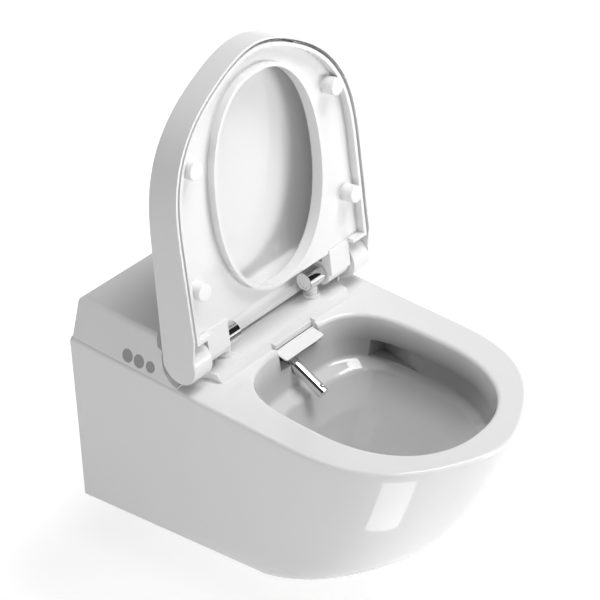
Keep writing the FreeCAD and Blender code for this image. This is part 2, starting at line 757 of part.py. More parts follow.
def hinge_plate():
    plate = Part.Face(plate_outline(RIM)).extrude(Vector(0, 0, PLATE_TOP))
    slope = prism_x(
        [
            (-PLATE_FRONT - OVERRUN, RIM),
            (-PLATE_FRONT, RIM),
            (-PLATE_FRONT + PLATE_SLOPE, PLATE_UP),
            (-PLATE_FRONT + PLATE_SLOPE, PLATE_UP + OVERRUN),
            (-PLATE_FRONT - OVERRUN, PLATE_UP + OVERRUN),
        ],
        PAN_WIDTH,
    )
    plate = plate.cut(slope)
    tray_room = flange_box(TRAY_FLANGE_OUT + PLATE_SKIRT, RIM - OVERRUN, FLANGE_TOP)
    plate = plate.cut(tray_room.cut(plate_ends(0)))
    plate = plate.cut(nozzle_bar(neck_radius() + SIDE_GAP / 2, -NECK_FRONT - OVERRUN, -PLATE_BACK + OVERRUN))
    chamber = nozzle_bar(CHAMBER_RADIUS + SIDE_GAP / 2, -CHAMBER_FRONT - SIDE_GAP, -PLATE_BACK + 2 * OVERRUN)
    plate = plate.cut(chamber)
    pocket_low = (-SLOT_LEFT, -WELL_FRONT, RIM)
    plate = plate.cut(box(pocket_low, (SLOT_RIGHT, -PLATE_BACK, RIM + PLATE_TOP / 2)))
    for x in post_sides():
        radius = POST_STUD_RADIUS + PRESS_CLEARANCE
        plate = plate.cut(along_z(radius, RIM, PLATE_UP + OVERRUN, x, -AXIS_FORWARD))
    for x, y in plate_bolt_places():
        plate = plate.cut(bolt_hole(x, y))
    plate = max(plate.Solids, key=lambda solid: solid.Volume)
    axis = flap_axis()
    hood_low = axis.z + FLAP_KNUCKLE_RADIUS + SIDE_GAP / 2
    hood = box(
        (flap_lugs()[0][0], -PLATE_FRONT, hood_low),
        (flap_lugs()[1][1], -PLATE_FRONT + FLAP_HOOD, RIM + PLATE_TOP / 4),
    )
    plate = plate.fuse(hood)
    for low, high in flap_lugs():
        top = PLATE_UP - PLATE_SKIRT
        lug = box((low, axis.y - FLAP_LUG, axis.z - FLAP_LUG), (high, axis.y + 2 * FLAP_LUG, top))
        plate = plate.fuse(lug.cut(along_x(FLAP_PIN_RADIUS + PRESS_CLEARANCE, low, high, axis.y, axis.z)))
    return [plate]


def flap_lugs():
    # Where the two small lugs that hold the flap's pin lie across the slot.
    gap = SIDE_GAP / 4
    return [(-SLOT_LEFT + gap, -FLAP_LEFT - gap), (FLAP_RIGHT + gap, SLOT_RIGHT - gap)]


def hinge_posts():
    solids = []
    for x in post_sides():
        y = -AXIS_FORWARD
        stud = along_z(POST_STUD_RADIUS, FLANGE_TOP - POST_STUD_LENGTH, PLATE_UP, x, y)
        collar = along_z(POST_COLLAR_RADIUS, PLATE_UP, PLATE_UP + POST_COLLAR, x, y)
        neck = along_z(POST_NECK_RADIUS, PLATE_UP, AXIS_Z, x, y)
        post = stud.fuse(collar).fuse(neck)
        solids.append(post.cut(along_x(BARREL_RADIUS, x - OVERRUN, x + OVERRUN, y, AXIS_Z)))
    return solids


def post_nuts():
    bore = POST_STUD_RADIUS + PRESS_CLEARANCE
    return [hex_nut(POST_NUT_RADIUS, bore, FLANGE_TOP, POST_NUT, x, -AXIS_FORWARD) for x in post_sides()]


def hinge_barrels():
    y, z = -AXIS_FORWARD, AXIS_Z
    barrel = along_x(BARREL_RADIUS, BARREL_INNER_END, BARREL_OUTER_END, y, z)
    room = along_x(BARREL_RADIUS - BARREL_WALL, BARREL_INNER_END, BARREL_OUTER_END - BARREL_WALL, y, z)
    bore = along_x(PIN_RADIUS + PRESS_CLEARANCE, BARREL_INNER_END, BARREL_OUTER_END + OVERRUN, y, z)
    return both_sides(barrel.cut(room).cut(bore))


def barrel_caps():
    y, z = -AXIS_FORWARD, AXIS_Z
    radius = BARREL_RADIUS - BARREL_WALL - PRESS_CLEARANCE
    plug = along_x(radius, BARREL_INNER_END, BARREL_INNER_END + CAP_LENGTH, y, z)
    dish = along_x(CAP_RADIUS - BARREL_WALL, BARREL_INNER_END, BARREL_INNER_END + CAP_LENGTH / 3, y, z)
    return both_sides(plug.cut(dish))


def damper_cartridges():
    y, z = -AXIS_FORWARD, AXIS_Z
    start = BARREL_INNER_END + CAP_LENGTH
    end = BARREL_OUTER_END - BARREL_WALL
    body = along_x(BARREL_RADIUS - BARREL_WALL - PRESS_CLEARANCE, start, end, y, z)
    return both_sides(body.cut(along_x(PIN_RADIUS + PRESS_CLEARANCE, start + CAP_LENGTH, end, y, z)))


def hinge_pins():
    start = BARREL_INNER_END + 2 * CAP_LENGTH
    return both_sides(along_x(PIN_RADIUS, start, PIN_END, -AXIS_FORWARD, AXIS_Z))


def under_lid(radius, low, start):
    """What lies below the closed lid's underside, ahead of the plane where its barrel starts."""
    front = -AXIS_FORWARD - LID_REACH - OVERRUN
    outline = [
        (front, RIM - 2 * OVERRUN),
        (front, RIM + low),
        (-AXIS_FORWARD - LID_UNDERSIDE_END, RIM + low),
        (-AXIS_FORWARD - LID_UNDERSIDE_RISE, AXIS_Z - radius),
        (-AXIS_FORWARD - start, AXIS_Z - math.sqrt(radius ** 2 - start ** 2)),
        (-AXIS_FORWARD - start, RIM - 2 * OVERRUN),
    ]
    return prism_x(outline, LID_WIDTH)


def d_prism(inset, back, low, high):
    nose = NOSE_DEPTH - inset
    tangent = AXIS_FORWARD + LID_REACH - NOSE_DEPTH
    wire = d_wire(back, LID_WIDTH / 2 - inset, LID_WIDTH / 2 - inset, tangent, nose, low)
    return Part.Face(wire).extrude(Vector(0, 0, high - low))


def lid_body(inset, low, drop):
    """The lid as a filled shape: the long D ahead of the axis and a half barrel behind it."""
    radius = LID_BARREL_RADIUS - drop
    half = LID_WIDTH / 2 - inset
    tilt = math.atan((AXIS_ABOVE_RIM + LID_BARREL_RADIUS - LID_NOSE_TOP) / LID_REACH)
    start = radius * math.sin(tilt)
    tangent = AXIS_FORWARD + LID_REACH - NOSE_DEPTH
    wire = d_wire(AXIS_FORWARD + start, half, half, tangent, NOSE_DEPTH - inset, 0)
    fall = FreeCAD.Matrix()
    fall.A32 = math.tan(tilt)
    fall.A34 = AXIS_Z + radius / math.cos(tilt) + AXIS_FORWARD * fall.A32
    front = Part.Face(wire.transformGeometry(fall)).extrude(Vector(0, 0, -2 * AXIS_ABOVE_RIM))
    front = front.cut(under_lid(radius, low, start))
    barrel = along_x(radius, -half, half, -AXIS_FORWARD, AXIS_Z)
    behind = box((-LID_WIDTH, -AXIS_FORWARD - start, RIM), (LID_WIDTH, 0, AXIS_Z + 2 * radius))
    body = front.fuse(barrel.common(behind)).removeSplitter()
    if inset > 0:
        return body
    edges = []
    for edge in body.Edges:
        bounds = edge.BoundBox
        at_side = bounds.XLength < SIDE_GAP and bounds.YMax > -tangent and bounds.ZMax > AXIS_Z + SIDE_GAP
        if at_side or bounds.ZMin > AXIS_Z and bounds.YMax < -AXIS_FORWARD - radius:
            edges.append(edge)
    return body.makeFillet(LID_EDGE_RADIUS, edges)


def lid_shell():
    outer = lid_body(0, LID_UNDERSIDE, 0)
    inner = lid_body(LID_LIP, -OVERRUN, LID_TOP_WALL)
    outside = LID_WIDTH / 2 + OVERRUN
    knuckles = both_sides(along_x(LID_BARREL_RADIUS, KNUCKLE_INNER_END, outside, -AXIS_FORWARD, AXIS_Z))
    for knuckle in knuckles:
        inner = inner.cut(knuckle)
    shell = outer.cut(inner)
    low = (-KNUCKLE_INNER_END, -AXIS_FORWARD, RIM - OVERRUN)
    shell = shell.cut(box(low, (KNUCKLE_INNER_END, 0, AXIS_Z + LID_BACK_EDGE)))
    side = LID_WIDTH / 2 - LID_LIP
    under = box((-side, -AXIS_FORWARD - LID_UNDERSIDE_END, RIM - OVERRUN), (side, 0, AXIS_Z))
    for knuckle in knuckles:
        under = under.cut(knuckle)
    shell = shell.cut(under)
    pin_room = along_x(
        PIN_RADIUS + RUNNING_CLEARANCE, KNUCKLE_INNER_END - OVERRUN, PIN_END + SIDE_GAP, -AXIS_FORWARD, AXIS_Z
    )
    for bore in both_sides(pin_room):
        shell = shell.cut(bore)
    return [opened(max(shell.Solids, key=lambda solid: solid.Volume))]


def lid_buffers():
    y = -AXIS_FORWARD - LID_BUFFER_REACH
    low = RIM + SEAT_TOP + BUMPER_RIM_GAP
    pad = along_z(LID_BUFFER_RADIUS, low, RIM + AXIS_ABOVE_RIM * 2, LID_BUFFER_OFFSET, y)
    pad = pad.common(lid_body(LID_LIP, -OVERRUN, LID_TOP_WALL))
    return [opened(side) for side in both_sides(pad)]


def seat_opening(grow, low, high):
    centre = (SEAT_OPENING_REAR + SEAT_OPENING_FRONT) / 2
    reach = (SEAT_OPENING_FRONT - SEAT_OPENING_REAR) / 2 + grow
    half = SEAT_OPENING_WIDTH / 2 + grow
    count = 24
    points = []
    for i in range(count):
        point = oval_point(2 * math.pi * i / count, half, reach, SEAT_OPENING_POWER, low)
        points.append(point - Vector(0, AXIS_FORWARD + centre, 0))
    return Part.Face(closed_curve(points)).extrude(Vector(0, 0, high - low))


def bumper_places():
    front = Vector(FRONT_BUMPER_SIDE, -AXIS_FORWARD - FRONT_BUMPER_REACH, 0)
    rear = Vector(REAR_BUMPER_SIDE, -AXIS_FORWARD - REAR_BUMPER_REACH, 0)
    places = [front, rear]
    return places + [Vector(-p.x, p.y, 0) for p in places]


def seat_ring():
    low, high = RIM + SEAT_UNDERSIDE, RIM + SEAT_TOP
    back = AXIS_FORWARD + SEAT_REAR_EDGE
    ring = d_prism(SEAT_INSET, back, low, high).cut(seat_opening(0, low - OVERRUN, high + OVERRUN))
    ring = ring.makeFillet(SEAT_EDGE_RADIUS, top_edges(ring, high, -back - OVERRUN))
    dish = d_prism(SEAT_INSET + SEAT_LIP, back + SEAT_LIP, low - OVERRUN, low + SEAT_DISH)
    inner = BARREL_OUTER_END + SIDE_GAP
    open_rear = box(
        (-SEAT_BARREL_END, -back - 2 * SEAT_LIP, low - OVERRUN),
        (SEAT_BARREL_END, -back + OVERRUN, low + SEAT_DISH),
    )
    dish = dish.fuse(open_rear)
    dish = dish.cut(seat_opening(SEAT_LIP, low - 2 * OVERRUN, high + OVERRUN))
    ring = ring.cut(dish)
    y, z = -AXIS_FORWARD, AXIS_Z
    for side in (-1, 1):
        ends = (side * inner, side * SEAT_BARREL_END)
        barrel = along_x(SEAT_BARREL_RADIUS, min(ends), max(ends), y, z)
        arm = box(
            (min(ends), -back - SEAT_LIP, high - SEAT_ARM_THICKNESS),
            (max(ends), y, high + SEAT_ARM_THICKNESS / 2),
        )
        ring = ring.fuse(arm).fuse(barrel)
    for x, y_stem in [(p.x, p.y) for p in bumper_places()]:
        top = low + SEAT_DISH + BUMPER_STEM + PRESS_CLEARANCE
        ring = ring.cut(along_z(BUMPER_STEM_RADIUS + PRESS_CLEARANCE, low, top, x, y_stem))
    ring = ring.cut(along_x(PIN_RADIUS + RUNNING_CLEARANCE, -PAN_WIDTH, PAN_WIDTH, y, z))
    return [opened(solid) for solid in ring.removeSplitter().Solids]


def seat_bumpers():
    floor = RIM + SEAT_UNDERSIDE + SEAT_DISH
    solids = []
    for place in bumper_places():
        foot = along_z(BUMPER_RADIUS, RIM + BUMPER_RIM_GAP, floor, place.x, place.y)
        foot = foot.makeFillet(BUMPER_EDGE_RADIUS, top_edges(foot, RIM + BUMPER_RIM_GAP, 0))
        stem = along_z(BUMPER_STEM_RADIUS, floor, floor + BUMPER_STEM, place.x, place.y)
        solids.append(opened(foot.fuse(stem)))
    return solids


def hollow_point(inset, forward):
    """A point of the hollow that follows the hinge line, a distance ahead of the axis."""
    radius = HOUSING_HOLLOW_RADIUS + inset
    return (-AXIS_FORWARD + forward, AXIS_Z - math.sqrt(radius ** 2 - forward ** 2))


def housing_profile(inset):
    """Side outline of the housing: upright back, level top, front hollowed round the hinge."""
    back = -HOUSING_BACK - inset
    top = RIM + HOUSING_HEIGHT - inset
    low = RIM if inset == 0 else RIM - OVERRUN
    share = 1 - math.sqrt(0.5)
    corner = HOUSING_BACK_RADIUS - inset
    nose = HOUSING_FRONT_RADIUS - inset
    front = -HOUSING_FRONT + inset
    radius = HOUSING_HOLLOW_RADIUS + inset
    toe = AXIS_FORWARD - HOUSING_TOE + inset
    start = math.sqrt(radius ** 2 - inset ** 2)
    return [
        (back, low),
        (back, top - corner),
        ((back - corner * share, top - corner * share), (back - corner, top)),
        (front + nose, top),
        ((front + nose * share, top - nose * share), (front, top - nose)),
        (-HOUSING_LEDGE_FORWARD + inset, RIM + HOUSING_LEDGE_HEIGHT - inset),
        (-AXIS_FORWARD + start, AXIS_Z - inset),
        (hollow_point(inset, radius * 3 / 4), hollow_point(inset, toe)),
        (-AXIS_FORWARD + toe, low),
    ]


def housing_solid(inset):
    side = prism_x(housing_profile(inset), PAN_WIDTH)
    foot = HOUSING_FOOT_WIDTH / 2 - inset
    top_half = HOUSING_TOP_WIDTH / 2 - inset
    top = RIM + HOUSING_HEIGHT - inset
    low = RIM - OVERRUN
    points = [(-foot, low), (-foot, RIM), (-top_half, top), (top_half, top), (foot, RIM), (foot, low)]
    corners = [Vector(x, 0, z) for x, z in points]
    face = Part.Face(Part.makePolygon(corners + corners[:1]))
    front_view = face.extrude(Vector(0, -PAN_LENGTH / 2, 0))
    upper = []
    for edge in front_view.Edges:
        bounds = edge.BoundBox
        if bounds.YLength > PAN_LENGTH / 3 and bounds.ZMin > RIM + HOUSING_HEIGHT / 2:
            upper.append(edge)
    front_view = front_view.makeFillet(HOUSING_EDGE_RADIUS - inset, upper)
    return side.common(front_view)


def button_places():
    names = ("button_rear", "button_middle", "button_front")
    radii = (BUTTON_LARGE_RADIUS, BUTTON_LARGE_RADIUS, BUTTON_SMALL_RADIUS)
    places = []
    for i, (name, radius) in enumerate(zip(names, radii)):
        places.append((name, radius, -BUTTON_REAR_FORWARD - BUTTON_PITCH * i))
    return places


def button_z():
    return RIM + BUTTON_HEIGHT


def button_back():
    return -HOUSING_FOOT_WIDTH / 2 + HOUSING_WALL + BUTTON_STEM


def housing_cover():
    cover = housing_solid(0).cut(housing_solid(HOUSING_WALL))
    front, back = board_ends()
    for y in (front - BOARD_RIB, back):
        start = button_back() - BUTTON_FLANGE_IN
        end = (start + BOARD_RIB_REACH, y + BOARD_RIB, button_z() + OVERRUN)
        rib = box((-PAN_WIDTH, y, RIM + TRAY_WALL), end)
        cover = cover.fuse(rib.common(housing_solid(HOUSING_WALL / 2)))
    room = SIDE_GAP / 2
    shoulder = plate_shoulder() + room
    plate_room = box(
        (-shoulder, -PLATE_FRONT - room, RIM - OVERRUN), (shoulder, -PLATE_BACK + room, PLATE_UP + room / 2)
    )
    cover = cover.cut(plate_room)
    cover = cover.cut(nozzle_bar(neck_radius() + room, -AXIS_FORWARD, -CHAMBER_BACK * 2))
    inside = -HOUSING_BACK - OVERRUN / 2
    cover = cover.cut(along_y(CONNECTOR_ROOM_RADIUS, inside, 0, VALVE_SIDE, connector_z()))
    for _, radius, y in button_places():
        cover = cover.cut(along_x(radius + BUTTON_CLEARANCE, -PAN_WIDTH, button_back(), y, button_z()))
    for x, y in boss_places():
        boss = along_z(HOUSING_BOSS_RADIUS, boss_top(), RIM + HOUSING_HEIGHT - HOUSING_WALL / 2, x, y)
        hole = along_z(HOUSING_SCREW_RADIUS, boss_top(), boss_top() + HOUSING_SCREW_LENGTH, x, y)
        cover = cover.fuse(boss.cut(hole))
    return [max(cover.Solids, key=lambda solid: solid.Volume)]


def housing_screws():
    """Screws driven up from under the tray, through its posts, into the housing's bosses."""
    solids = []
    end = boss_top() + HOUSING_SCREW_LENGTH - SIDE_GAP
    for x, y in boss_places():
        shank = along_z(HOUSING_SCREW_RADIUS - PRESS_CLEARANCE, TRAY_FLOOR, end, x, y)
        head = along_z(HOUSING_SCREW_HEAD_RADIUS, TRAY_FLOOR - HOUSING_SCREW_HEAD, TRAY_FLOOR, x, y)
        solids.append(shank.fuse(head))
    return solids


def side_button(radius, y):
    back = button_back()
    cap = along_x(radius, -PAN_WIDTH, back, y, button_z()).common(housing_solid(0))
    start = back - BUTTON_FLANGE_IN
    flange = along_x(radius + BUTTON_FLANGE_OUT, start, start + BUTTON_FLANGE, y, button_z())
    return [cap.fuse(flange)]


def button_pads():
    end = board_x()
    pads = []
    for _, _, y in button_places():
        pads.append(along_x(PAD_RADIUS, end - PAD_THICKNESS, end, y, button_z()))
    return pads


def board_ends():
    half = BUTTON_LARGE_RADIUS + BUTTON_FLANGE_OUT + SIDE_GAP / 2
    return (-BUTTON_REAR_FORWARD - 2 * BUTTON_PITCH - half, -BUTTON_REAR_FORWARD + half)


def board_x():
    return button_back() + BUTTON_TRAVEL + BUTTON_REST_GAP + PAD_THICKNESS


def button_board():
    front, back = board_ends()
    low = (board_x(), front, FLANGE_TOP)
    high = (board_x() + BUTTON_BOARD, back, button_z() + BUTTON_LARGE_RADIUS)
    return [box(low, high)]


def nozzle_at(y):
    """The point of the nozzle's axis at a place along Y."""
    run = (y - NOZZLE_TIP.y) / ALONG.y
    return NOZZLE_TIP + ALONG * run


def nozzle_bar(radius, y_front, y_back):
    return cylinder(radius, nozzle_at(y_front), nozzle_at(y_back))


def neck_radius():
    return NOZZLE_RADIUS + NECK_WALL


def nozzle_rear():
    return NOZZLE_TIP - ALONG * NOZZLE_LENGTH


def nozzle_tube():
    body = cylinder(NOZZLE_RADIUS, nozzle_rear(), NOZZLE_TIP)
    body = body.cut(cylinder(NOZZLE_BORE_RADIUS, nozzle_rear(), NOZZLE_TIP))
    middle = NOZZLE_TIP - ALONG * NOZZLE_HEAD_LENGTH / 2
    window = cylinder(SPRAY_PITCH, middle, middle + ABOVE * OVERRUN)
    return [body.cut(window)]


def nozzle_collar():
    """The ring on the tube's inner end that the water pushes against."""
    rear = nozzle_rear()
    front = rear + ALONG * COLLAR_LENGTH
    ring = cylinder(COLLAR_RADIUS, rear, front)
    return [ring.cut(cylinder(NOZZLE_RADIUS, rear, front))]


def nozzle_cylinder():
    """The fixed cylinder: a slim neck under the plate and a wider chamber in the housing."""
    body = nozzle_bar(neck_radius(), -NECK_FRONT, -CHAMBER_SHOULDER)
    body = body.fuse(nozzle_bar(CHAMBER_RADIUS, -CHAMBER_FRONT, -CHAMBER_BACK))
    front_foot = -WELL_FRONT + TRAY_CLEARANCE + TRAY_WALL
    pocket_floor = DECK - TRAY_DEEP + TRAY_WALL
    rear_foot = -(CHAMBER_FRONT + CHAMBER_BACK) / 2
    half = SADDLE_HALF_WIDTH
    for start, floor in ((front_foot, pocket_floor), (rear_foot, TRAY_FLOOR + TRAY_WALL)):
        end = start + SADDLE_LENGTH
        body = body.fuse(box((-half, start, floor), (half, end, nozzle_at(start).z)))
    port = feed_port()
    body = body.fuse(cylinder(HOSE_BORE_RADIUS, nozzle_at(port.y), port))
    body = body.cut(nozzle_bar(NOZZLE_RADIUS + RUNNING_CLEARANCE, -PAN_LENGTH, -CHAMBER_SHOULDER))
    end = nozzle_at(-CHAMBER_BACK) + ALONG * CHAMBER_END_WALL
    bore = cylinder(COLLAR_RADIUS + COLLAR_CLEARANCE, nozzle_at(-CHAMBER_SHOULDER), end)
    return [body.cut(bore)]


def feed_port():
    """The end of the spigot that feeds the chamber."""
    y = -CHAMBER_BACK - 2 * HOSE_RADIUS
    return Vector(CHAMBER_RADIUS + HOSE_BEND, y, nozzle_at(y).z)


def nozzle_head():
    start = NOZZLE_TIP - ALONG * NOZZLE_HEAD_LENGTH
    radius = NOZZLE_BORE_RADIUS - PRESS_CLEARANCE
    body = cylinder(radius, start, NOZZLE_TIP)
    middle = NOZZLE_TIP - ALONG * NOZZLE_HEAD_LENGTH / 2
    for step in (-1, 0, 1):
        hole = middle + ALONG * SPRAY_PITCH / 2 * step
        body = body.cut(cylinder(SPRAY_RADIUS, hole, hole + ABOVE * OVERRUN))
    return [body]


def flap_axis():
    return Vector(0, -FLAP_FORWARD, RIM - FLAP_BELOW_RIM)


def flap_turned(shape):
    turned = shape.copy()
    turned.rotate(flap_axis(), Vector(1, 0, 0), FLAP_SLOPE)
    return turned


def nozzle_flap():
    """A small shutter hung under the plate's front edge, shown held open."""
    axis = flap_axis()
    front = axis.y - FLAP_LENGTH
    plate = box(
        (-FLAP_LEFT, front, axis.z - FLAP_THICKNESS / 2), (FLAP_RIGHT, axis.y, axis.z + FLAP_THICKNESS / 2)
    )
    corners = []
    for edge in plate.Edges:
        bounds = edge.BoundBox
        if bounds.ZLength > FLAP_THICKNESS / 2 and bounds.YMax < axis.y - FLAP_LENGTH / 2:
            corners.append(edge)
    plate = plate.makeFillet(FLAP_CORNER, corners)
    knuckle = along_x(FLAP_KNUCKLE_RADIUS, -FLAP_LEFT, FLAP_RIGHT, axis.y, axis.z)
    bore = along_x(FLAP_PIN_RADIUS + RUNNING_CLEARANCE, -PAN_WIDTH, PAN_WIDTH, axis.y, axis.z)
    return [flap_turned(plate.fuse(knuckle).cut(bore))]


def flap_pin():
    axis = flap_axis()
    lugs = flap_lugs()
    return [along_x(FLAP_PIN_RADIUS, lugs[0][0], lugs[1][1], axis.y, axis.z)]


def water_heater():
    floor = TRAY_FLOOR + TRAY_WALL
    low = (-HEATER_SIDE - HEATER_WIDTH / 2, -HEATER_BACK - HEATER_LENGTH, floor)
    high = (-HEATER_SIDE + HEATER_WIDTH / 2, -HEATER_BACK, floor + HEATER_HEIGHT)
    tank = box(low, high)
    corners = [edge for edge in tank.Edges if edge.BoundBox.ZLength > HEATER_HEIGHT / 2]
    tank = tank.makeFillet(HEATER_CORNER, corners)
    x = high[0]
    for y in (-HEATER_BACK - HEATER_CORNER * 2, -HEATER_BACK - HEATER_LENGTH + HEATER_CORNER * 2):
        tank = tank.fuse(along_x(HOSE_BORE_RADIUS, x, x + HOSE_BEND / 2, y, heater_port_z()))
    return [tank]


def heater_port_z():
    return TRAY_FLOOR + TRAY_WALL + HEATER_HEIGHT - HEATER_CORNER


def heater_port(rear):
    y = -HEATER_BACK - HEATER_CORNER * 2 if rear else -HEATER_BACK - HEATER_LENGTH + HEATER_CORNER * 2
    return Vector(-HEATER_SIDE + HEATER_WIDTH / 2, y, heater_port_z())


def inlet_valve():
    floor = TRAY_FLOOR + TRAY_WALL
    front, back = -CONNECTOR_FORWARD - VALVE_LENGTH / 2, -CONNECTOR_FORWARD + VALVE_LENGTH / 2
    half = VALVE_WIDTH / 2
    body = box((VALVE_SIDE - half, front, floor), (VALVE_SIDE + half, back, floor + VALVE_HEIGHT))
    top = floor + VALVE_HEIGHT
    coil = along_z(VALVE_WIDTH / 3, top, top + VALVE_HEIGHT / 2, VALVE_SIDE, -CONNECTOR_FORWARD)
    spout = valve_spout()
    spigot = cylinder(HOSE_BORE_RADIUS, spout, spout - Vector(HOSE_BEND / 2, 0, 0))
    return [body.fuse(coil).fuse(spigot)]


def valve_spout():
    return Vector(VALVE_SIDE - VALVE_WIDTH / 2, heater_port(True).y, heater_port_z() - 3 * HOSE_RADIUS)


def connector_z():
    return RIM + CONNECTOR_LIFT


def inlet_connector():
    """The threaded nipple behind the valve that takes the water hose from the wall."""
    x, z = VALVE_SIDE, connector_z()
    start = -CONNECTOR_FORWARD + VALVE_LENGTH / 2
    shoulder = -CONNECTOR_END - CONNECTOR_LENGTH
    pipe = along_y(CONNECTOR_RADIUS, start, -CONNECTOR_END, x, z)
    collar = along_y(CONNECTOR_COLLAR_RADIUS, start, shoulder, x, z)
    return [pipe.fuse(collar).cut(along_y(CONNECTOR_BORE_RADIUS, start, -CONNECTOR_END, x, z))]


def mains_gland():
    x, y = GLAND_SIDE, -GLAND_FORWARD
    body = along_z(GLAND_RADIUS, TRAY_FLOOR - GLAND_BODY, TRAY_FLOOR + GLAND_BODY, x, y)
    collar = along_z(GLAND_RADIUS + GLAND_COLLAR, TRAY_FLOOR - GLAND_COLLAR, TRAY_FLOOR, x, y)
    bore = along_z(GLAND_BORE_RADIUS, TRAY_FLOOR - GLAND_BODY, TRAY_FLOOR + GLAND_BODY, x, y)
    return [body.fuse(collar).cut(bore)]


def hose(points):
    return [chain(HOSE_RADIUS, points).cut(chain(HOSE_BORE_RADIUS + PRESS_CLEARANCE, points))]


def supply_hose():
    start, end = valve_spout(), heater_port(True)
    bend = Vector(HOSE_BEND * 3 / 2, 0, 0)
    return hose([start, start - bend, end + bend, end])


def pump_hose():
    start, end = heater_port(False), pump_port(-1)
    level = Vector(start.x + 2 * HOSE_BEND, start.y, hose_level())
    return hose([start, start + Vector(HOSE_BEND, 0, 0), level, Vector(end.x, end.y, level.z), end])


def nozzle_hose():
    port, end = feed_port(), pump_port(1)
    start = Vector(CHAMBER_RADIUS + SIDE_GAP, port.y, port.z)
    return hose([start, Vector(pump_port(-1).x, port.y, port.z), Vector(end.x, end.y, port.z), end])


def hose_level():
    return heater_port_z() + HOSE_BEND + SIDE_GAP


def pump_port(side):
    """Where a hose meets the top of the pump."""
    top = TRAY_FLOOR + TRAY_WALL + 2 * PUMP_RADIUS
    return Vector(PUMP_SIDE + side * 2 * HOSE_RADIUS, -PUMP_FORWARD, top)


def water_pump():
    floor = TRAY_FLOOR + TRAY_WALL
    z = floor + PUMP_RADIUS
    y = -PUMP_FORWARD
    half = PUMP_LENGTH / 2
    body = along_x(PUMP_RADIUS, PUMP_SIDE - half, PUMP_SIDE + half, y, z)
    foot_low = (PUMP_SIDE - half, y - PUMP_RADIUS, floor)
    body = body.fuse(box(foot_low, (PUMP_SIDE + half, y + PUMP_RADIUS, floor + TRAY_WALL)))
    for side in (-1, 1):
        port = pump_port(side)
        body = body.fuse(along_z(HOSE_BORE_RADIUS, z, port.z + HOSE_BEND / 2, port.x, y))
    return [body]


def power_supply():
    floor = TRAY_FLOOR + TRAY_WALL
    back = -WELL_BACK - TRAY_CLEARANCE - TRAY_WALL - 2 * TRAY_WALL - SIDE_GAP
    low = (SUPPLY_SIDE - SUPPLY_WIDTH / 2, back - SUPPLY_LENGTH / 2, floor)
    return [box(low, (SUPPLY_SIDE + SUPPLY_WIDTH / 2, back, floor + SUPPLY_HEIGHT))]


def control_board():
    z = TRAY_FLOOR + TRAY_WALL + HEATER_HEIGHT + STANDOFF_RADIUS
    x = -HEATER_SIDE
    y = -HEATER_BACK - HEATER_LENGTH / 2
    w, l = HEATER_WIDTH / 2, HEATER_LENGTH / 2
    board = box((x - w, y - l, z), (x + w, y + l, z + BOARD_THICKNESS))
    for dx in (-1, 1):
        for dy in (-1, 1):
            px = x + dx * (w - HEATER_CORNER * 1.2)
            py = y + dy * (l - HEATER_CORNER * 1.2)
            board = board.fuse(along_z(STANDOFF_RADIUS, z - STANDOFF_RADIUS, z, px, py))
    chip = box((x - w / 2, y - l / 3, z + BOARD_THICKNESS), (x, y + l / 3, z + BOARD_THICKNESS + CHIP_HEIGHT))
    relay_top = z + BOARD_THICKNESS + 2 * CHIP_HEIGHT
    relay = box((x + w / 4, y - l / 4, z + BOARD_THICKNESS), (x + w / 2, y + l / 2, relay_top))
    return [board.fuse(chip).fuse(relay)]


NODES = {
    "ceramic_pan": ceramic_pan,
    "flush_inlet_seal": flush_inlet_seal,
    "waste_outlet_seal": waste_outlet_seal,
    "wall_stud_bushes": wall_stud_bushes,
    "deck_gasket": deck_gasket,
    "unit_tray": unit_tray,
    "tray_bolts": tray_bolts,
    "plate_bolts": plate_bolts,
    "deck_nuts": deck_nuts,
    "hinge_plate": hinge_plate,
    "hinge_posts": hinge_posts,
    "post_nuts": post_nuts,
    "hinge_barrels": hinge_barrels,
    "barrel_caps": barrel_caps,
    "damper_cartridges": damper_cartridges,
    "hinge_pins": hinge_pins,
    "lid_shell": lid_shell,
    "lid_buffers": lid_buffers,
    "seat_ring": seat_ring,
    "seat_bumpers": seat_bumpers,
    "housing_cover": housing_cover,
    "housing_screws": housing_screws,
    "button_pads": button_pads,
    "button_board": button_board,
    "nozzle_tube": nozzle_tube,
    "nozzle_head": nozzle_head,
    "nozzle_collar": nozzle_collar,
    "nozzle_cylinder": nozzle_cylinder,
    "nozzle_flap": nozzle_flap,
    "flap_pin": flap_pin,
    "water_heater": water_heater,
    "water_pump": water_pump,
    "inlet_valve": inlet_valve,
    "inlet_connector": inlet_connector,
    "supply_hose": supply_hose,
    "pump_hose": pump_hose,
    "nozzle_hose": nozzle_hose,
    "mains_gland": mains_gland,
    "power_supply": power_supply,
    "control_board": control_board,
}


def export():
    os.makedirs("parts", exist_ok=True)
    nodes = {name: make() for name, make in NODES.items()}
    for name, radius, y in button_places():
        nodes[name] = side_button(radius, y)
    for name, solids in nodes.items():
        shape = solids[0] if len(solids) == 1 else Part.makeCompound(solids)
        shape.exportStep(os.path.join("parts", name + ".step"))
        print(name, len(shape.Solids), "solids, volume", round(shape.Volume), "valid", shape.isValid())


export()
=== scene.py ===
import math
import bpy
import bmesh
from mathutils import Matrix, Vector


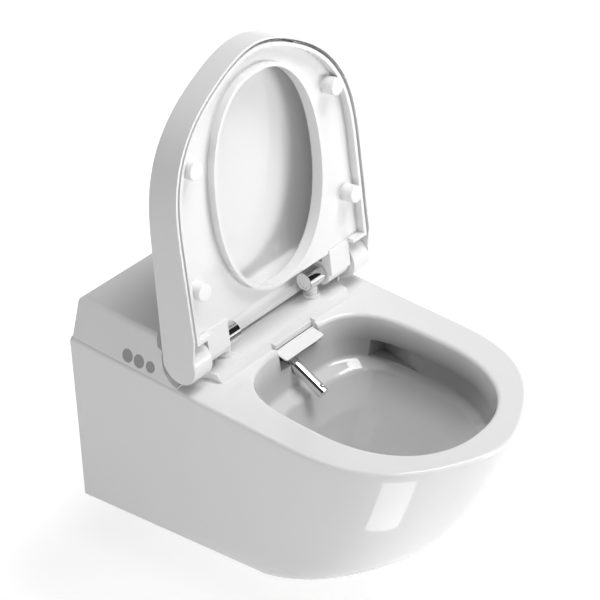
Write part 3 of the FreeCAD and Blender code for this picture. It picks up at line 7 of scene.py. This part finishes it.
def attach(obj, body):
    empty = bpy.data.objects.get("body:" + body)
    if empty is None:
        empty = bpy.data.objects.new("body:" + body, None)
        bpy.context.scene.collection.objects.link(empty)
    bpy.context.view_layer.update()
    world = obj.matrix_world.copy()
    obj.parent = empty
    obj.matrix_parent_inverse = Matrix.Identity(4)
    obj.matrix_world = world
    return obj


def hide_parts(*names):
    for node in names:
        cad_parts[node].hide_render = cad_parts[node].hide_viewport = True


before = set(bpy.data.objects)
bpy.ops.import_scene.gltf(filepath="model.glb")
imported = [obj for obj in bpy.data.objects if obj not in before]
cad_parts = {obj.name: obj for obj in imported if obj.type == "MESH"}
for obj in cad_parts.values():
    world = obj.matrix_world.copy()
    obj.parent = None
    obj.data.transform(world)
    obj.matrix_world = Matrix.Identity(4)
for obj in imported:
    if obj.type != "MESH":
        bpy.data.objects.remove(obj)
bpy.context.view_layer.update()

# The camera looks at the toilet from the front left and above, with a long lens.
# The toilet's back lies on the wall plane y = 0, and its rim is 400 mm above the floor.
scene = bpy.context.scene
scene.view_settings.view_transform = "Standard"

camera_data = bpy.data.cameras.new("Camera")
camera = bpy.data.objects.new("Camera", camera_data)
scene.collection.objects.link(camera)
scene.camera = camera
camera_data.lens = 156
camera_data.sensor_width = 36
camera_data.clip_start = 0.1
camera_data.clip_end = 60
camera.location = (-2.2202, -2.1180, 2.1478)
aim = Vector((0.0845, -0.1842, 0.080)) - camera.location
camera.rotation_euler = aim.to_track_quat("-Z", "Y").to_euler()


class Wire:
    # A socket of a node tree, with Python's own signs for sums between values.
    def __init__(self, tree, socket):
        self.tree = tree
        self.socket = socket

    def math(self, operation, *values):
        node = self.tree.nodes.new("ShaderNodeMath")
        node.operation = operation
        for place, value in enumerate(values):
            if isinstance(value, Wire):
                self.tree.links.new(value.socket, node.inputs[place])
            else:
                node.inputs[place].default_value = value
        return Wire(self.tree, node.outputs[0])

    def __add__(self, other):
        return self.math("ADD", self, other)

    def __sub__(self, other):
        return self.math("SUBTRACT", self, other)

    def __mul__(self, other):
        return self.math("MULTIPLY", self, other)

    def __truediv__(self, other):
        return self.math("DIVIDE", self, other)

    def __radd__(self, other):
        return self.math("ADD", other, self)

    def __rsub__(self, other):
        return self.math("SUBTRACT", other, self)

    def clamped(self):
        # The value held between zero and one.
        return self.math("MINIMUM", self.math("MAXIMUM", self, 0.0), 1.0)


class Finish:
    # A material being made: its shader, and one way to add any other node to it.
    def __init__(self, name, **constants):
        self.material = bpy.data.materials.new(name)
        self.material.use_nodes = True
        self.tree = self.material.node_tree
        self.shader = self.tree.nodes["Principled BSDF"]
        self.output = self.tree.nodes["Material Output"]
        for socket, value in constants.items():
            self.shader.inputs[socket.replace("_", " ")].default_value = value

    def node(self, kind, settings=None, inputs=None, out=0):
        node = self.tree.nodes.new(kind)
        for key, value in (settings or {}).items():
            setattr(node, key, value)
        for key, value in (inputs or {}).items():
            if isinstance(value, Wire):
                self.tree.links.new(value.socket, node.inputs[key])
            else:
                node.inputs[key].default_value = value
        return Wire(self.tree, node.outputs[out])

    def place(self):
        # The point in the object's own coordinates, which are the node's output 3.
        return self.node("ShaderNodeTexCoord", out=3)

    def noise(self, scale, detail=3.0):
        inputs = {"Vector": self.place(), "Scale": scale, "Detail": detail, "Roughness": 0.55}
        return self.node("ShaderNodeTexNoise", None, inputs)

    def blend(self, factor, one, other):
        # A mix of two colours, which go into sockets 6 and 7 and come out of output 2.
        inputs = {0: factor, 6: one, 7: other}
        return self.node("ShaderNodeMix", {"data_type": "RGBA"}, inputs, 2)

    def feed(self, socket, wire):
        self.tree.links.new(wire.socket, self.shader.inputs[socket])

    def gloss(self, scale, low, spread):
        # The roughness wanders from a low value upwards.
        self.feed("Roughness", low + self.noise(scale) * spread)

    def colour(self, scale, one, other):
        # The colour wanders between two.
        self.feed("Base Color", self.blend(self.noise(scale), one, other))

    def bump(self, scale, distance, strength, detail=3.0):
        # The surface rises and falls by a distance.
        inputs = {"Height": self.noise(scale, detail), "Distance": distance, "Strength": strength}
        self.feed("Normal", self.node("ShaderNodeBump", None, inputs))


# The floor is a wide sheet of white paper under the toilet.
# The camera sees it lifted to white, more so far away, and the shadow on it stays faint.
FLOOR_Z = -0.32
NEAR_GLOW, FAR_GLOW = (0.64, 0.64, 0.64, 1), (0.95, 0.95, 0.95, 1)
GLOW_STARTS, GLOW_RUN = 1.0, 2.0


def seen_directly(tree):
    # One for rays straight from the camera, off a shiny surface or through glass, else zero.
    rays = tree.nodes.new("ShaderNodeLightPath").outputs
    camera_ray, glossy_ray = Wire(tree, rays["Is Camera Ray"]), Wire(tree, rays["Is Glossy Ray"])
    return (camera_ray + glossy_ray + Wire(tree, rays["Is Transmission Ray"])).clamped()


bpy.ops.object.select_all(action="DESELECT")
bpy.ops.mesh.primitive_plane_add(size=30)
floor = bpy.context.object
floor.name = "floor"
floor.data.transform(Matrix.Translation((0, 0, FLOOR_Z)))
paper = Finish("floor_paper", Base_Color=(0.86, 0.86, 0.86, 1), Roughness=0.9,
               Specular_IOR_Level=0.0)
away = paper.node("ShaderNodeVectorMath", {"operation": "LENGTH"}, {0: paper.place()}, 1)
shade = paper.blend(((away - GLOW_STARTS) / GLOW_RUN).clamped(), NEAR_GLOW, FAR_GLOW)
seen = seen_directly(paper.tree)
lift = paper.node("ShaderNodeEmission", None, {"Color": shade, "Strength": seen})
sheet = Wire(paper.tree, paper.shader.outputs[0])
both = paper.node("ShaderNodeAddShader", None, {0: sheet, 1: lift})
paper.tree.links.new(both.socket, paper.output.inputs[0])
floor.data.materials.append(paper.material)

# The room is white to the camera and in polished metal.
# It lights the toilet weakly and evenly, and the lamps do the rest.
world = bpy.data.worlds.new("Room")
scene.world = world
world.use_nodes = True
room = world.node_tree
background = room.nodes["Background"]
background.inputs["Color"].default_value = (1, 1, 1, 1)
AMBIENT = 0.18
strength = AMBIENT + seen_directly(room) * (1 - AMBIENT)
room.links.new(strength.socket, background.inputs["Strength"])


# Four soft boxes light the toilet: one low in front, two overhead and one low on the left.
# The one in front and the long one overhead are strong, and the other two only fill.
def lamp(name, at, towards, size, watts, tall=None):
    # A soft box that stands at one point and faces another, square unless a height is given.
    data = bpy.data.lights.new(name, "AREA")
    data.shape = "RECTANGLE"
    data.size = size
    data.size_y = tall or size
    data.energy = watts
    made = bpy.data.objects.new(name, data)
    scene.collection.objects.link(made)
    made.location = at
    made.rotation_euler = (Vector(towards) - Vector(at)).to_track_quat("-Z", "Y").to_euler()


lamp("front_soft_box", (1.2, -3.1, 0.02), (0, -0.3, 0.15), 1.4, 43, 0.6)
lamp("top_soft_box", (1.0, -1.1, 3.0), (0, -0.3, 0), 1.1, 68, 1.9)
lamp("top_left_fill", (-1.0, -1.2, 3.0), (0, -0.3, 0.1), 1.2, 10)
lamp("low_left_fill", (-3.0, -1.0, -0.05), (0, -0.3, 0), 2.4, 21, 0.45)


# Three cards stand round the toilet, and only what is polished shows them.
# The bright one makes the slanted highlight on the pan's nose, the others dark bands in chrome.
def card(name, corners, strength):
    # A flat panel between four corners, glowing evenly.
    bpy.ops.object.select_all(action="DESELECT")
    bpy.ops.mesh.primitive_plane_add(size=1)
    panel = bpy.context.object
    panel.name = name
    for vert, corner in zip(panel.data.vertices, corners):
        vert.co = corner
    face = Finish(name + "_face")
    glow = face.node("ShaderNodeEmission", None, {"Color": (1, 1, 1, 1), "Strength": strength})
    face.tree.links.new(glow.socket, face.output.inputs[0])
    panel.data.materials.append(face.material)
    panel.visible_camera = panel.visible_diffuse = panel.visible_shadow = False
    panel.visible_transmission = False


BRIGHT, DARK, DIM = 4.0, 0.02, 0.05
CARD_Z = -0.31
card(
    "nose_reflector",
    [(-0.374, -0.693, CARD_Z), (-0.196, -0.810, CARD_Z),
     (-0.249, -0.551, CARD_Z), (-0.123, -0.612, CARD_Z)],
    BRIGHT,
)
card(
    "right_dark_card",
    [(0.9, -1.75, 0.5), (1.7, -1.75, 0.5), (0.9, -0.7, 1.6), (1.7, -0.7, 1.6)],
    DARK,
)
card(
    "left_dark_card",
    [(-0.8, -1.4, 2.6), (-0.8, 0.5, 2.6), (-2.2, -1.4, 0.9), (-2.2, 0.5, 0.9)],
    DIM,
)


def only(thing):
    # Leaves one object selected and active.
    bpy.ops.object.select_all(action="DESELECT")
    thing.select_set(True)
    bpy.context.view_layer.objects.active = thing


def fair_copy(node, body, material, smooth=30.0):
    # A CAD solid's mesh, merged and shaded smooth, stands in for the solid itself.
    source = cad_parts[node]
    piece = bpy.data.objects.new(node + "_finished", source.data.copy())
    scene.collection.objects.link(piece)
    only(piece)
    bpy.ops.mesh.customdata_custom_splitnormals_clear()
    bpy.ops.object.mode_set(mode="EDIT")
    bpy.ops.mesh.select_all(action="SELECT")
    bpy.ops.mesh.remove_doubles(threshold=0.000002)
    bpy.ops.object.mode_set(mode="OBJECT")
    bpy.ops.object.shade_smooth_by_angle(angle=math.radians(smooth))
    piece.data.materials.clear()
    piece.data.materials.append(material)
    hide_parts(node)
    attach(piece, body)


def dress(node, material):
    # A CAD solid whose flat shape is right keeps its mesh and gets the finish.
    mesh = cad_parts[node].data
    mesh.materials.clear()
    mesh.materials.append(material)


# The pan is one casting of vitreous china, fired under a white glaze.
# The glaze lies a little uneven, so its gloss ripples faintly and its white varies.
glaze = Finish("white_glaze", Base_Color=(0.83, 0.83, 0.83, 1), Roughness=0.07, IOR=1.52)
glaze.gloss(scale=40.0, low=0.055, spread=0.03)
glaze.colour(6.0, (0.82, 0.82, 0.822, 1), (0.84, 0.84, 0.838, 1))
glaze.bump(scale=14.0, distance=0.0004, strength=0.25, detail=2.0)

RIM_Z = 0.080
PAN_LENGTH, PAN_HEIGHT, PAN_NOSE = 0.602, 0.285, 0.233
BACK_STEPS, SIDE_STEPS, NOSE_STEPS = 16, 12, 36
# The nose is a curve of two powers up to a share of its turn, and a cubic on to its middle.
NOSE_SPLIT, POWER_ACROSS, POWER_ALONG, NOSE_PULL = 0.625, 1.44, 3.05, 1.05
QUARTER = math.pi / 2


def d_outline(back_half, half, tangent, nose, z, back=0.0):
    # One level of the D: straight back and sides, and a round nose. Its back lies on the wall,
    # or a little in front of it.
    right = []
    for step in range(NOSE_STEPS + 1):
        share = step / NOSE_STEPS
        turn = QUARTER * min(share, NOSE_SPLIT)
        x = half * math.cos(turn) ** (2 / POWER_ACROSS)
        y = nose * math.sin(turn) ** (2 / POWER_ALONG)
        if share > NOSE_SPLIT:
            span = QUARTER * (1 - NOSE_SPLIT)
            dx = -x * span * 2 / POWER_ACROSS * math.tan(turn)
            dy = y * span * 2 / POWER_ALONG / math.tan(turn)
            u = (share - NOSE_SPLIT) / (1 - NOSE_SPLIT)
            near = 2 * u ** 3 - 3 * u ** 2 + 1
            leave, arrive = u ** 3 - 2 * u ** 2 + u, u ** 3 - u ** 2
            x = near * x + leave * dx - arrive * x * NOSE_PULL
            y = near * y + leave * dy + (1 - near) * nose
        right.append((x, -tangent - y))
    side = []
    for step in range(SIDE_STEPS):
        share = step / SIDE_STEPS
        side.append((back_half + (half - back_half) * share, -back - (tangent - back) * share))
    rear = [(back_half * 2 * step / BACK_STEPS, -back) for step in range(BACK_STEPS // 2)]
    half_ring = rear + side + right
    other = [(-x, y) for x, y in reversed(half_ring[1:-1])]
    return [Vector((x, y, z)) for x, y in half_ring + other]


def drawn(name, rows):
    # A wall drawn row by row: a circle is set on the first row and extruded to each next one.
    # The last row and the first are then closed with a face each.
    bpy.ops.object.select_all(action="DESELECT")
    bpy.ops.mesh.primitive_circle_add(vertices=len(rows[0]), radius=0.1)
    piece = bpy.context.object
    piece.name = name
    bpy.ops.object.mode_set(mode="EDIT")
    mesh = bmesh.from_edit_mesh(piece.data)
    step = mesh.verts.layers.int.new("step")
    for place, vert in enumerate(mesh.verts):
        vert[step] = place
        vert.co = rows[0][place]
    for row in rows[1:]:
        bmesh.update_edit_mesh(piece.data)
        bpy.ops.mesh.extrude_region_move()
        mesh = bmesh.from_edit_mesh(piece.data)
        step = mesh.verts.layers.int["step"]
        for vert in mesh.verts:
            if vert.select:
                vert.co = row[vert[step]]
    bmesh.update_edit_mesh(piece.data)
    bpy.ops.mesh.edge_face_add()
    bpy.ops.mesh.select_all(action="DESELECT")
    bpy.ops.mesh.select_non_manifold(use_wire=False, use_boundary=True, use_multi_face=False,
                                     use_non_contiguous=False, use_verts=False)
    bpy.ops.mesh.edge_face_add()
    bpy.ops.mesh.select_all(action="SELECT")
    bpy.ops.mesh.normals_make_consistent(inside=False)
    bpy.ops.object.mode_set(mode="OBJECT")
    return piece


def cut_away(piece, *tools):
    # Each tool's shape is taken out of the piece, and the tool is put away.
    for tool in tools:
        only(piece)
        change = piece.modifiers.new("cut", "BOOLEAN")
        change.operation = "DIFFERENCE"
        change.solver = "EXACT"
        change.object = tool
        bpy.ops.object.modifier_apply(modifier=change.name)
        bpy.data.objects.remove(tool)


def block(low, high, turn=0.0, corner=(0, 0, 0)):
    # A cutting block between two corners, turned in plan about a third point.
    bpy.ops.object.select_all(action="DESELECT")
    bpy.ops.mesh.primitive_cube_add(size=1)
    tool = bpy.context.object
    low, high = Vector(low), Vector(high)
    place = Matrix.Translation((low + high) / 2) @ Matrix.Diagonal((*(high - low), 1))
    there, back = Matrix.Translation(corner), Matrix.Translation(-Vector(corner))
    tool.data.transform(there @ Matrix.Rotation(turn, 4, "Z") @ back @ place)
    return tool


def rod(radius, start, end, sides=64):
    # A round cutting bar between two points.
    bpy.ops.object.select_all(action="DESELECT")
    bpy.ops.mesh.primitive_cylinder_add(vertices=sides, radius=radius, depth=1)
    tool = bpy.context.object
    start, end = Vector(start), Vector(end)
    turn = (end - start).to_track_quat("Z", "Y").to_matrix().to_4x4()
    stretch = Matrix.Diagonal((1, 1, (end - start).length, 1))
    tool.data.transform(Matrix.Translation((start + end) / 2) @ turn @ stretch)
    return tool


# The outside runs level by level from the foot up to the rim, whose edge is rounded.
# A share is how far down a level lies, as a part of the pan's height. The drafts are what the
# widths lose on the way down, and the sweep is what the straight sides lose of their length.
HULL_STEPS, HULL_EASE, TOE_SHARE = 30, 1.7, 281 / 285
FRONT_WIDTH, BACK_WIDTH, SIDE_LENGTH = 0.371, 0.377, PAN_LENGTH - PAN_NOSE
SIDE_DRAFT, FOOT_DRAFT, BACK_DRAFT, NOSE_SWEEP = 0.0224, 0.0188, 0.023, 0.071
FALL_POWER, FALL_ROOT, SWEEP_POWER, FOOT_POWER = 1.236, 2.36, 6, 8
RIM_EDGE, RIM_STEPS, RIM_FLAT, RIM_CLEAR = 0.0055, 6, 0.0015, 1.3


def hull_nose(share):
    # How far the nose stands out from the straight sides at a level.
    return PAN_NOSE * (1 - share ** FALL_POWER) ** (1 / FALL_ROOT)


def hull_half(share):
    # Half the pan's width where the straight sides end.
    return (FRONT_WIDTH - 2 * SIDE_DRAFT * share) / 2


outside = []
for step in range(HULL_STEPS, -1, -1):
    share = TOE_SHARE * (1 - (1 - step / HULL_STEPS) ** HULL_EASE)
    z = RIM_Z - PAN_HEIGHT * share
    if z < RIM_Z - RIM_EDGE * RIM_CLEAR:
        sweep = NOSE_SWEEP * share ** 2
        nose = hull_nose(share) + sweep * math.sqrt(1 - share ** SWEEP_POWER)
        half = hull_half(share) - FOOT_DRAFT * share ** FOOT_POWER
        back_half = (BACK_WIDTH - BACK_DRAFT * share / TOE_SHARE) / 2
        outside.append(d_outline(back_half, half, SIDE_LENGTH - sweep, nose, z))
for step in range(RIM_STEPS + 1):
    turn = QUARTER * step / RIM_STEPS
    inset, fall = RIM_EDGE * (1 - math.cos(turn)), RIM_EDGE * (1 - math.sin(turn))
    share = fall / PAN_HEIGHT
    half, nose = hull_half(share) - inset, hull_nose(share) - inset
    outside.append(d_outline(BACK_WIDTH / 2 - inset, half, SIDE_LENGTH, nose, RIM_Z - fall))
top = outside[-1]
# The last level is as high as the one before, and lies inside it all round, at the back too.
# Faces without any area would else stand there, and the cuts would come out differently each run.
inset = RIM_EDGE + RIM_FLAT
half, nose = FRONT_WIDTH / 2 - inset, PAN_NOSE - inset
outside.append(d_outline(BACK_WIDTH / 2 - inset, half, SIDE_LENGTH, nose, RIM_Z, RIM_FLAT))

# The bowl is a D in plan too. Its wall runs down to a ledge, and from there to the sump.
BOWL_AT = Vector((0, -0.395, 0))
BOWL_HALF, BOWL_FRONT, BOWL_REAR, BOWL_DEPTH = 0.132, 0.1615, 0.154, 0.214
REAR_POWER, FRONT_POWER = 3.65, 2.25
bearings = [math.atan2(point.y - BOWL_AT.y, point.x) for point in top]


def bowl_ring(width, rear, front, depth, out=0.0):
    # One level of the bowl, with its points on the same bearings as the rim's.
    ring = []
    for bearing in bearings:
        across, along = math.cos(bearing), math.sin(bearing)
        reach, power = BOWL_FRONT * front, FRONT_POWER
        if bearing > 0:
            reach, power = BOWL_REAR * rear, REAR_POWER
        total = abs(across / (BOWL_HALF * width)) ** power + abs(along / reach) ** power
        r = total ** (-1 / power) + out
        ring.append(Vector((r * across, BOWL_AT.y + r * along, RIM_Z - depth)))
    return ring


BOWL_EDGE, EDGE_STEPS, EDGE_FLAT = 0.007, 7, 0.002
inside = [bowl_ring(1, 1, 1, 0, BOWL_EDGE + EDGE_FLAT)]
for step in range(EDGE_STEPS + 1):
    turn = QUARTER * step / EDGE_STEPS
    fall, out = BOWL_EDGE * (1 - math.cos(turn)), BOWL_EDGE * (1 - math.sin(turn))
    inside.append(bowl_ring(1, 1, 1, fall, out))
# Each level: share of the depth, and shares of the bowl's width, rear reach and front reach.
BOWL_LEVELS = [
    (0.033, 1.0, 1.0, 1.0), (0.06, 0.992, 0.99, 0.99), (0.2, 0.972, 0.952, 0.965),
    (0.3, 0.955, 0.925, 0.945), (0.345, 0.86, 0.78, 0.86), (0.56, 0.68, 0.66, 0.58),
    (0.8, 0.47, 0.6, 0.27), (1.0, 0.32, 0.57, 0.11),
]
BOWL_STEP = 0.0035
profile = []
for one, other in zip(BOWL_LEVELS, BOWL_LEVELS[1:]):
    run = math.hypot((other[0] - one[0]) * BOWL_DEPTH, (other[2] - one[2]) * BOWL_REAR)
    count = max(2, math.ceil(run / BOWL_STEP))
    for step in range(count):
        profile.append([a + (b - a) * step / count for a, b in zip(one, other)])
profile.append(list(BOWL_LEVELS[-1]))
# The steps are set to a mean with their neighbours, so that the ledge has soft edges.
# The first one is left out, and the last one stays as it is.
rounded = [[(a + 2 * b + c) / 4 for a, b, c in zip(*three)]
           for three in zip(profile, profile[1:], profile[2:])] + [profile[-1]]
for depth, width, rear, front in rounded:
    inside.append(bowl_ring(width, rear, front, depth * BOWL_DEPTH))
SUMP_RADIUS, SUMP_Y, SUMP_DEPTH, THROAT = 0.031, -0.355, 0.222, 0.02
sump = []
for bearing in bearings:
    across, along = SUMP_RADIUS * math.cos(bearing), SUMP_RADIUS * math.sin(bearing)
    sump.append(Vector((across, SUMP_Y + along, RIM_Z - SUMP_DEPTH)))
throat = [point - Vector((0, 0, THROAT)) for point in sump]
pan = drawn("ceramic_casting", outside + inside + [sump, throat])

# The deck is let down for the washing unit, and the bowl's wall is open for nozzle and flush.
# The back is bored for the two wall studs, the flush pipe and the waste pipe, and has a window
# for the mains lead.
WELL_FRONT, WELL_BACK, WELL_HALF, WELL_DEPTH = -0.221, -0.034, 0.120, 0.032
SLOT_LEFT, SLOT_RIGHT, SLOT_STEP, SLOT_DEPTH = -0.029, 0.055, -0.002, 0.025
SLOT_FRONT, SLOT_BACK = -0.395, -0.201
OVER, ROUND = 0.02, 96
niche = Vector((0.11, -0.286, RIM_Z - 0.051))
NICHE_LENGTH, NICHE_SINK, NICHE_HALF_HEIGHT, NICHE_TURN = 0.090, 0.032, 0.013, math.radians(-12)
slope = math.radians(25.6)
rearward = Vector((0, math.cos(slope), math.sin(slope)))
tip = Vector((0, -0.298, RIM_Z - 0.061))
TUBE_BORE, TUBE_END, NECK_BORE, NECK_FRONT, NECK_END = 0.0093, 0.075, 0.0125, 0.0735, 0.11
STUD_BORE, STUD_X, BORE_FRONT = 0.014, 0.09, -0.06
FLUSH_BORE, FLUSH_Z, WASTE_BORE, WASTE_Z, WASTE_FRONT = 0.0275, 0.035, 0.051, -0.1, -0.09
WINDOW_LOW, WINDOW_HIGH = (0.032, -0.04, RIM_Z - 0.02), (0.104, OVER, RIM_Z - 0.006)
cut_away(
    pan,
    block((-WELL_HALF, WELL_FRONT, RIM_Z - WELL_DEPTH), (WELL_HALF, WELL_BACK, RIM_Z + OVER)),
    block((SLOT_LEFT, SLOT_FRONT, RIM_Z - SLOT_DEPTH), (SLOT_RIGHT, SLOT_BACK, RIM_Z + OVER)),
    block((SLOT_LEFT, SLOT_FRONT, RIM_Z - WELL_DEPTH), (SLOT_STEP, SLOT_BACK, RIM_Z + OVER)),
    block(niche - Vector((0, NICHE_LENGTH, NICHE_HALF_HEIGHT)),
          niche + Vector((NICHE_SINK, 0, NICHE_HALF_HEIGHT)), NICHE_TURN, niche),
    rod(TUBE_BORE, tip, tip + rearward * TUBE_END),
    rod(NECK_BORE, tip + rearward * NECK_FRONT, tip + rearward * NECK_END),
    rod(STUD_BORE, (-STUD_X, BORE_FRONT, 0), (-STUD_X, OVER, 0)),
    rod(STUD_BORE, (STUD_X, BORE_FRONT, 0), (STUD_X, OVER, 0)),
    rod(FLUSH_BORE, (0, BORE_FRONT, FLUSH_Z), (0, OVER, FLUSH_Z), ROUND),
    rod(WASTE_BORE, (0, WASTE_FRONT, WASTE_Z), (0, OVER, WASTE_Z), ROUND),
    block(WINDOW_LOW, WINDOW_HIGH),
)
only(pan)
bpy.ops.object.shade_smooth_by_angle(angle=math.radians(38))
pan.data.materials.clear()
pan.data.materials.append(glaze.material)

# Inside the bowl the glaze carries painted shade, which starts just under the rim.
# It greys the white further down, and darkest of all down the right-hand wall.
SHADE_STARTS, SHADE_RUN = 0.003, 0.035
WALL_ENDS, WALL_RUN, WALL_X, WALL_X_RUN = 0.115, 0.05, 0.07, 0.05
shaded_bowl = Finish("bowl_painted_shade", Roughness=0.06, IOR=1.52)
across = shaded_bowl.node("ShaderNodeSeparateXYZ", None, {"Vector": shaded_bowl.place()}, 0)
height = shaded_bowl.node("ShaderNodeSeparateXYZ", None, {"Vector": shaded_bowl.place()}, 2)
deep = ((RIM_Z - SHADE_STARTS - height) / SHADE_RUN).clamped()
low_wall = ((height - RIM_Z + WALL_ENDS) / WALL_RUN).clamped()
wall = low_wall * ((across - WALL_X) / WALL_X_RUN).clamped()
# The painted shade: mid grey deep in the bowl, and dark grey on the right-hand wall.
painted_wall_shade = shaded_bowl.blend(wall, (0.66, 0.66, 0.66, 1), (0.26, 0.26, 0.26, 1))
shaded_bowl.feed("Base Color", shaded_bowl.blend(deep, (0.83, 0.83, 0.83, 1), painted_wall_shade))
shaded_bowl.gloss(scale=40.0, low=0.05, spread=0.03)
shaded_bowl.bump(scale=14.0, distance=0.0004, strength=0.25, detail=2.0)
pan.data.materials.append(shaded_bowl.material)
# The faces inside the bowl, below the rim, take the material with the painted shade.
REACH_X, REACH_Y, BELOW_RIM, FACES_UP = 0.16, 0.20, 0.001, 0.2
for face in pan.data.polygons:
    inward = Vector((-face.center.x, BOWL_AT.y - face.center.y, 0))
    near = math.hypot(inward.x / REACH_X, inward.y / REACH_Y) < 1
    faces_in = face.normal.dot(inward) > 0 or face.normal.z > FACES_UP
    if near and faces_in and face.center.z < RIM_Z - BELOW_RIM:
        face.material_index = 1
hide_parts("ceramic_pan")
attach(pan, "pan")

# Rubber sleeves in the back of the pan take the two wall studs, the flush pipe and the waste pipe.
# The same black rubber lies on the deck as the tray's gasket.
rubber = Finish("black_rubber", Base_Color=(0.03, 0.03, 0.032, 1), Roughness=0.6)
rubber.gloss(scale=300.0, low=0.5, spread=0.25)
rubber.bump(scale=900.0, distance=0.0001, strength=0.3)
for node in ("flush_inlet_seal", "waste_outlet_seal", "wall_stud_bushes", "deck_gasket"):
    dress(node, rubber.material)

# The washing unit's tray is moulded in grey polypropylene and bolted into the deck.
# The nozzle's cylinder, the pump, the valve and the gland on it are of the same plastic.
tray = Finish("grey_tray_plastic", Base_Color=(0.55, 0.55, 0.56, 1), Roughness=0.4)
tray.gloss(scale=120.0, low=0.36, spread=0.12)
tray.bump(scale=700.0, distance=0.00005, strength=0.3)
for node in ("unit_tray", "nozzle_cylinder", "water_pump", "inlet_valve", "mains_gland"):
    dress(node, tray.material)

# Bolts, nuts, screws, pins and the water connection are zinc-plated steel or plated brass.
# Their faces are turned or rolled, so the shine is uneven.
steel = Finish("plated_steel", Base_Color=(0.62, 0.62, 0.63, 1), Metallic=1.0, Roughness=0.3)
steel.gloss(scale=220.0, low=0.24, spread=0.14)
for node in ("tray_bolts", "plate_bolts", "deck_nuts", "post_nuts", "housing_screws", "hinge_pins",
             "damper_cartridges", "flap_pin", "inlet_connector"):
    dress(node, steel.material)

# The hinge plate, the posts and the cover are glossy white plastic, moulded to match the glaze.
# The plate is bolted down, the posts are nutted under it, and the cover is screwed to the tray.
white = Finish("white_gloss_plastic", Base_Color=(0.82, 0.82, 0.82, 1), Roughness=0.14, IOR=1.5)
white.gloss(scale=60.0, low=0.11, spread=0.06)
COOL_WHITE, WARM_WHITE = (0.815, 0.815, 0.817, 1), (0.83, 0.83, 0.828, 1)
white.colour(8.0, COOL_WHITE, WARM_WHITE)
white.bump(scale=500.0, distance=0.00003, strength=0.2)
fair_copy("hinge_plate", "pan", white.material)
fair_copy("hinge_posts", "pan", white.material)
fair_copy("housing_cover", "pan", white.material, 35)

# The barrels are chromed brass tubes that sit across the tops of the posts.
# A pale disc is pressed into each inner end.
chrome = Finish("polished_chrome", Base_Color=(0.72, 0.72, 0.73, 1), Metallic=1.0, Roughness=0.05)
chrome.gloss(scale=90.0, low=0.03, spread=0.04)
fair_copy("hinge_barrels", "pan", chrome.material)
fair_copy("barrel_caps", "pan", white.material)

# The lid is a thick pressed resin shell with a rolled edge, hollow under its top.
# It turns on the hinge pins with its two knuckles, and small pads are pressed in under it.
duroplast = Finish("white_lid_resin", Base_Color=(0.82, 0.82, 0.82, 1), Roughness=0.1, IOR=1.5)
duroplast.gloss(scale=50.0, low=0.075, spread=0.04)
duroplast.colour(7.0, COOL_WHITE, WARM_WHITE)
duroplast.bump(scale=18.0, distance=0.0003, strength=0.2, detail=2.0)
fair_copy("lid_shell", "lid", duroplast.material, 40)
fair_copy("lid_buffers", "lid", white.material)

# The seat ring is pressed from the same resin and turns on the same pins.
# Four soft white bumpers are pushed into it from below, each by a stem.
fair_copy("seat_ring", "seat", duroplast.material, 40)
bumper = Finish("soft_white_bumper", Base_Color=(0.84, 0.84, 0.84, 1), Roughness=0.4)
bumper.gloss(scale=200.0, low=0.36, spread=0.1)
bumper.bump(scale=700.0, distance=0.00004, strength=0.3)
fair_copy("seat_bumpers", "seat", bumper.material)

# Three round buttons of matt grey plastic stand in the left side of the housing.
# Rubber pads behind them press on a small board.
button = Finish("grey_button_plastic", Base_Color=(0.33, 0.33, 0.33, 1), Roughness=0.45)
button.gloss(scale=300.0, low=0.4, spread=0.12)
button.bump(scale=900.0, distance=0.00003, strength=0.3)
fair_copy("button_rear", "rear_button", button.material)
fair_copy("button_middle", "middle_button", button.material)
fair_copy("button_front", "front_button", button.material)
dress("button_pads", rubber.material)

# The washing nozzle is a chromed tube with a drilled head, and slides in and out of its cylinder.
# A pale matt flap hangs from its pin beside it, under the plate's front edge.
fair_copy("nozzle_tube", "nozzle", chrome.material)
fair_copy("nozzle_head", "nozzle", chrome.material)
dress("nozzle_collar", tray.material)
flap = Finish("matt_flap_plastic", Base_Color=(0.86, 0.86, 0.86, 1), Roughness=0.5)
flap.gloss(scale=260.0, low=0.45, spread=0.12)
flap.bump(scale=700.0, distance=0.00003, strength=0.3)
fair_copy("nozzle_flap", "flap", flap.material)

# Under the cover sit the heater tank, the power supply and two green boards.
# Silicone hoses join the water pieces.
board = Finish("green_board", Base_Color=(0.03, 0.16, 0.07, 1), Roughness=0.4)
board.gloss(scale=160.0, low=0.34, spread=0.16)
for node in ("control_board", "button_board"):
    dress(node, board.material)
case = Finish("dark_case_plastic", Base_Color=(0.06, 0.06, 0.065, 1), Roughness=0.45)
case.gloss(scale=200.0, low=0.4, spread=0.14)
dress("power_supply", case.material)
heater = Finish("cream_heater_plastic", Base_Color=(0.72, 0.69, 0.62, 1), Roughness=0.42)
heater.gloss(scale=160.0, low=0.38, spread=0.12)
dress("water_heater", heater.material)
hose = Finish("silicone_hose", Base_Color=(0.66, 0.67, 0.68, 1), Roughness=0.3)
hose.gloss(scale=140.0, low=0.26, spread=0.12)
for node in ("supply_hose", "pump_hose", "nozzle_hose"):
    dress(node, hose.material)
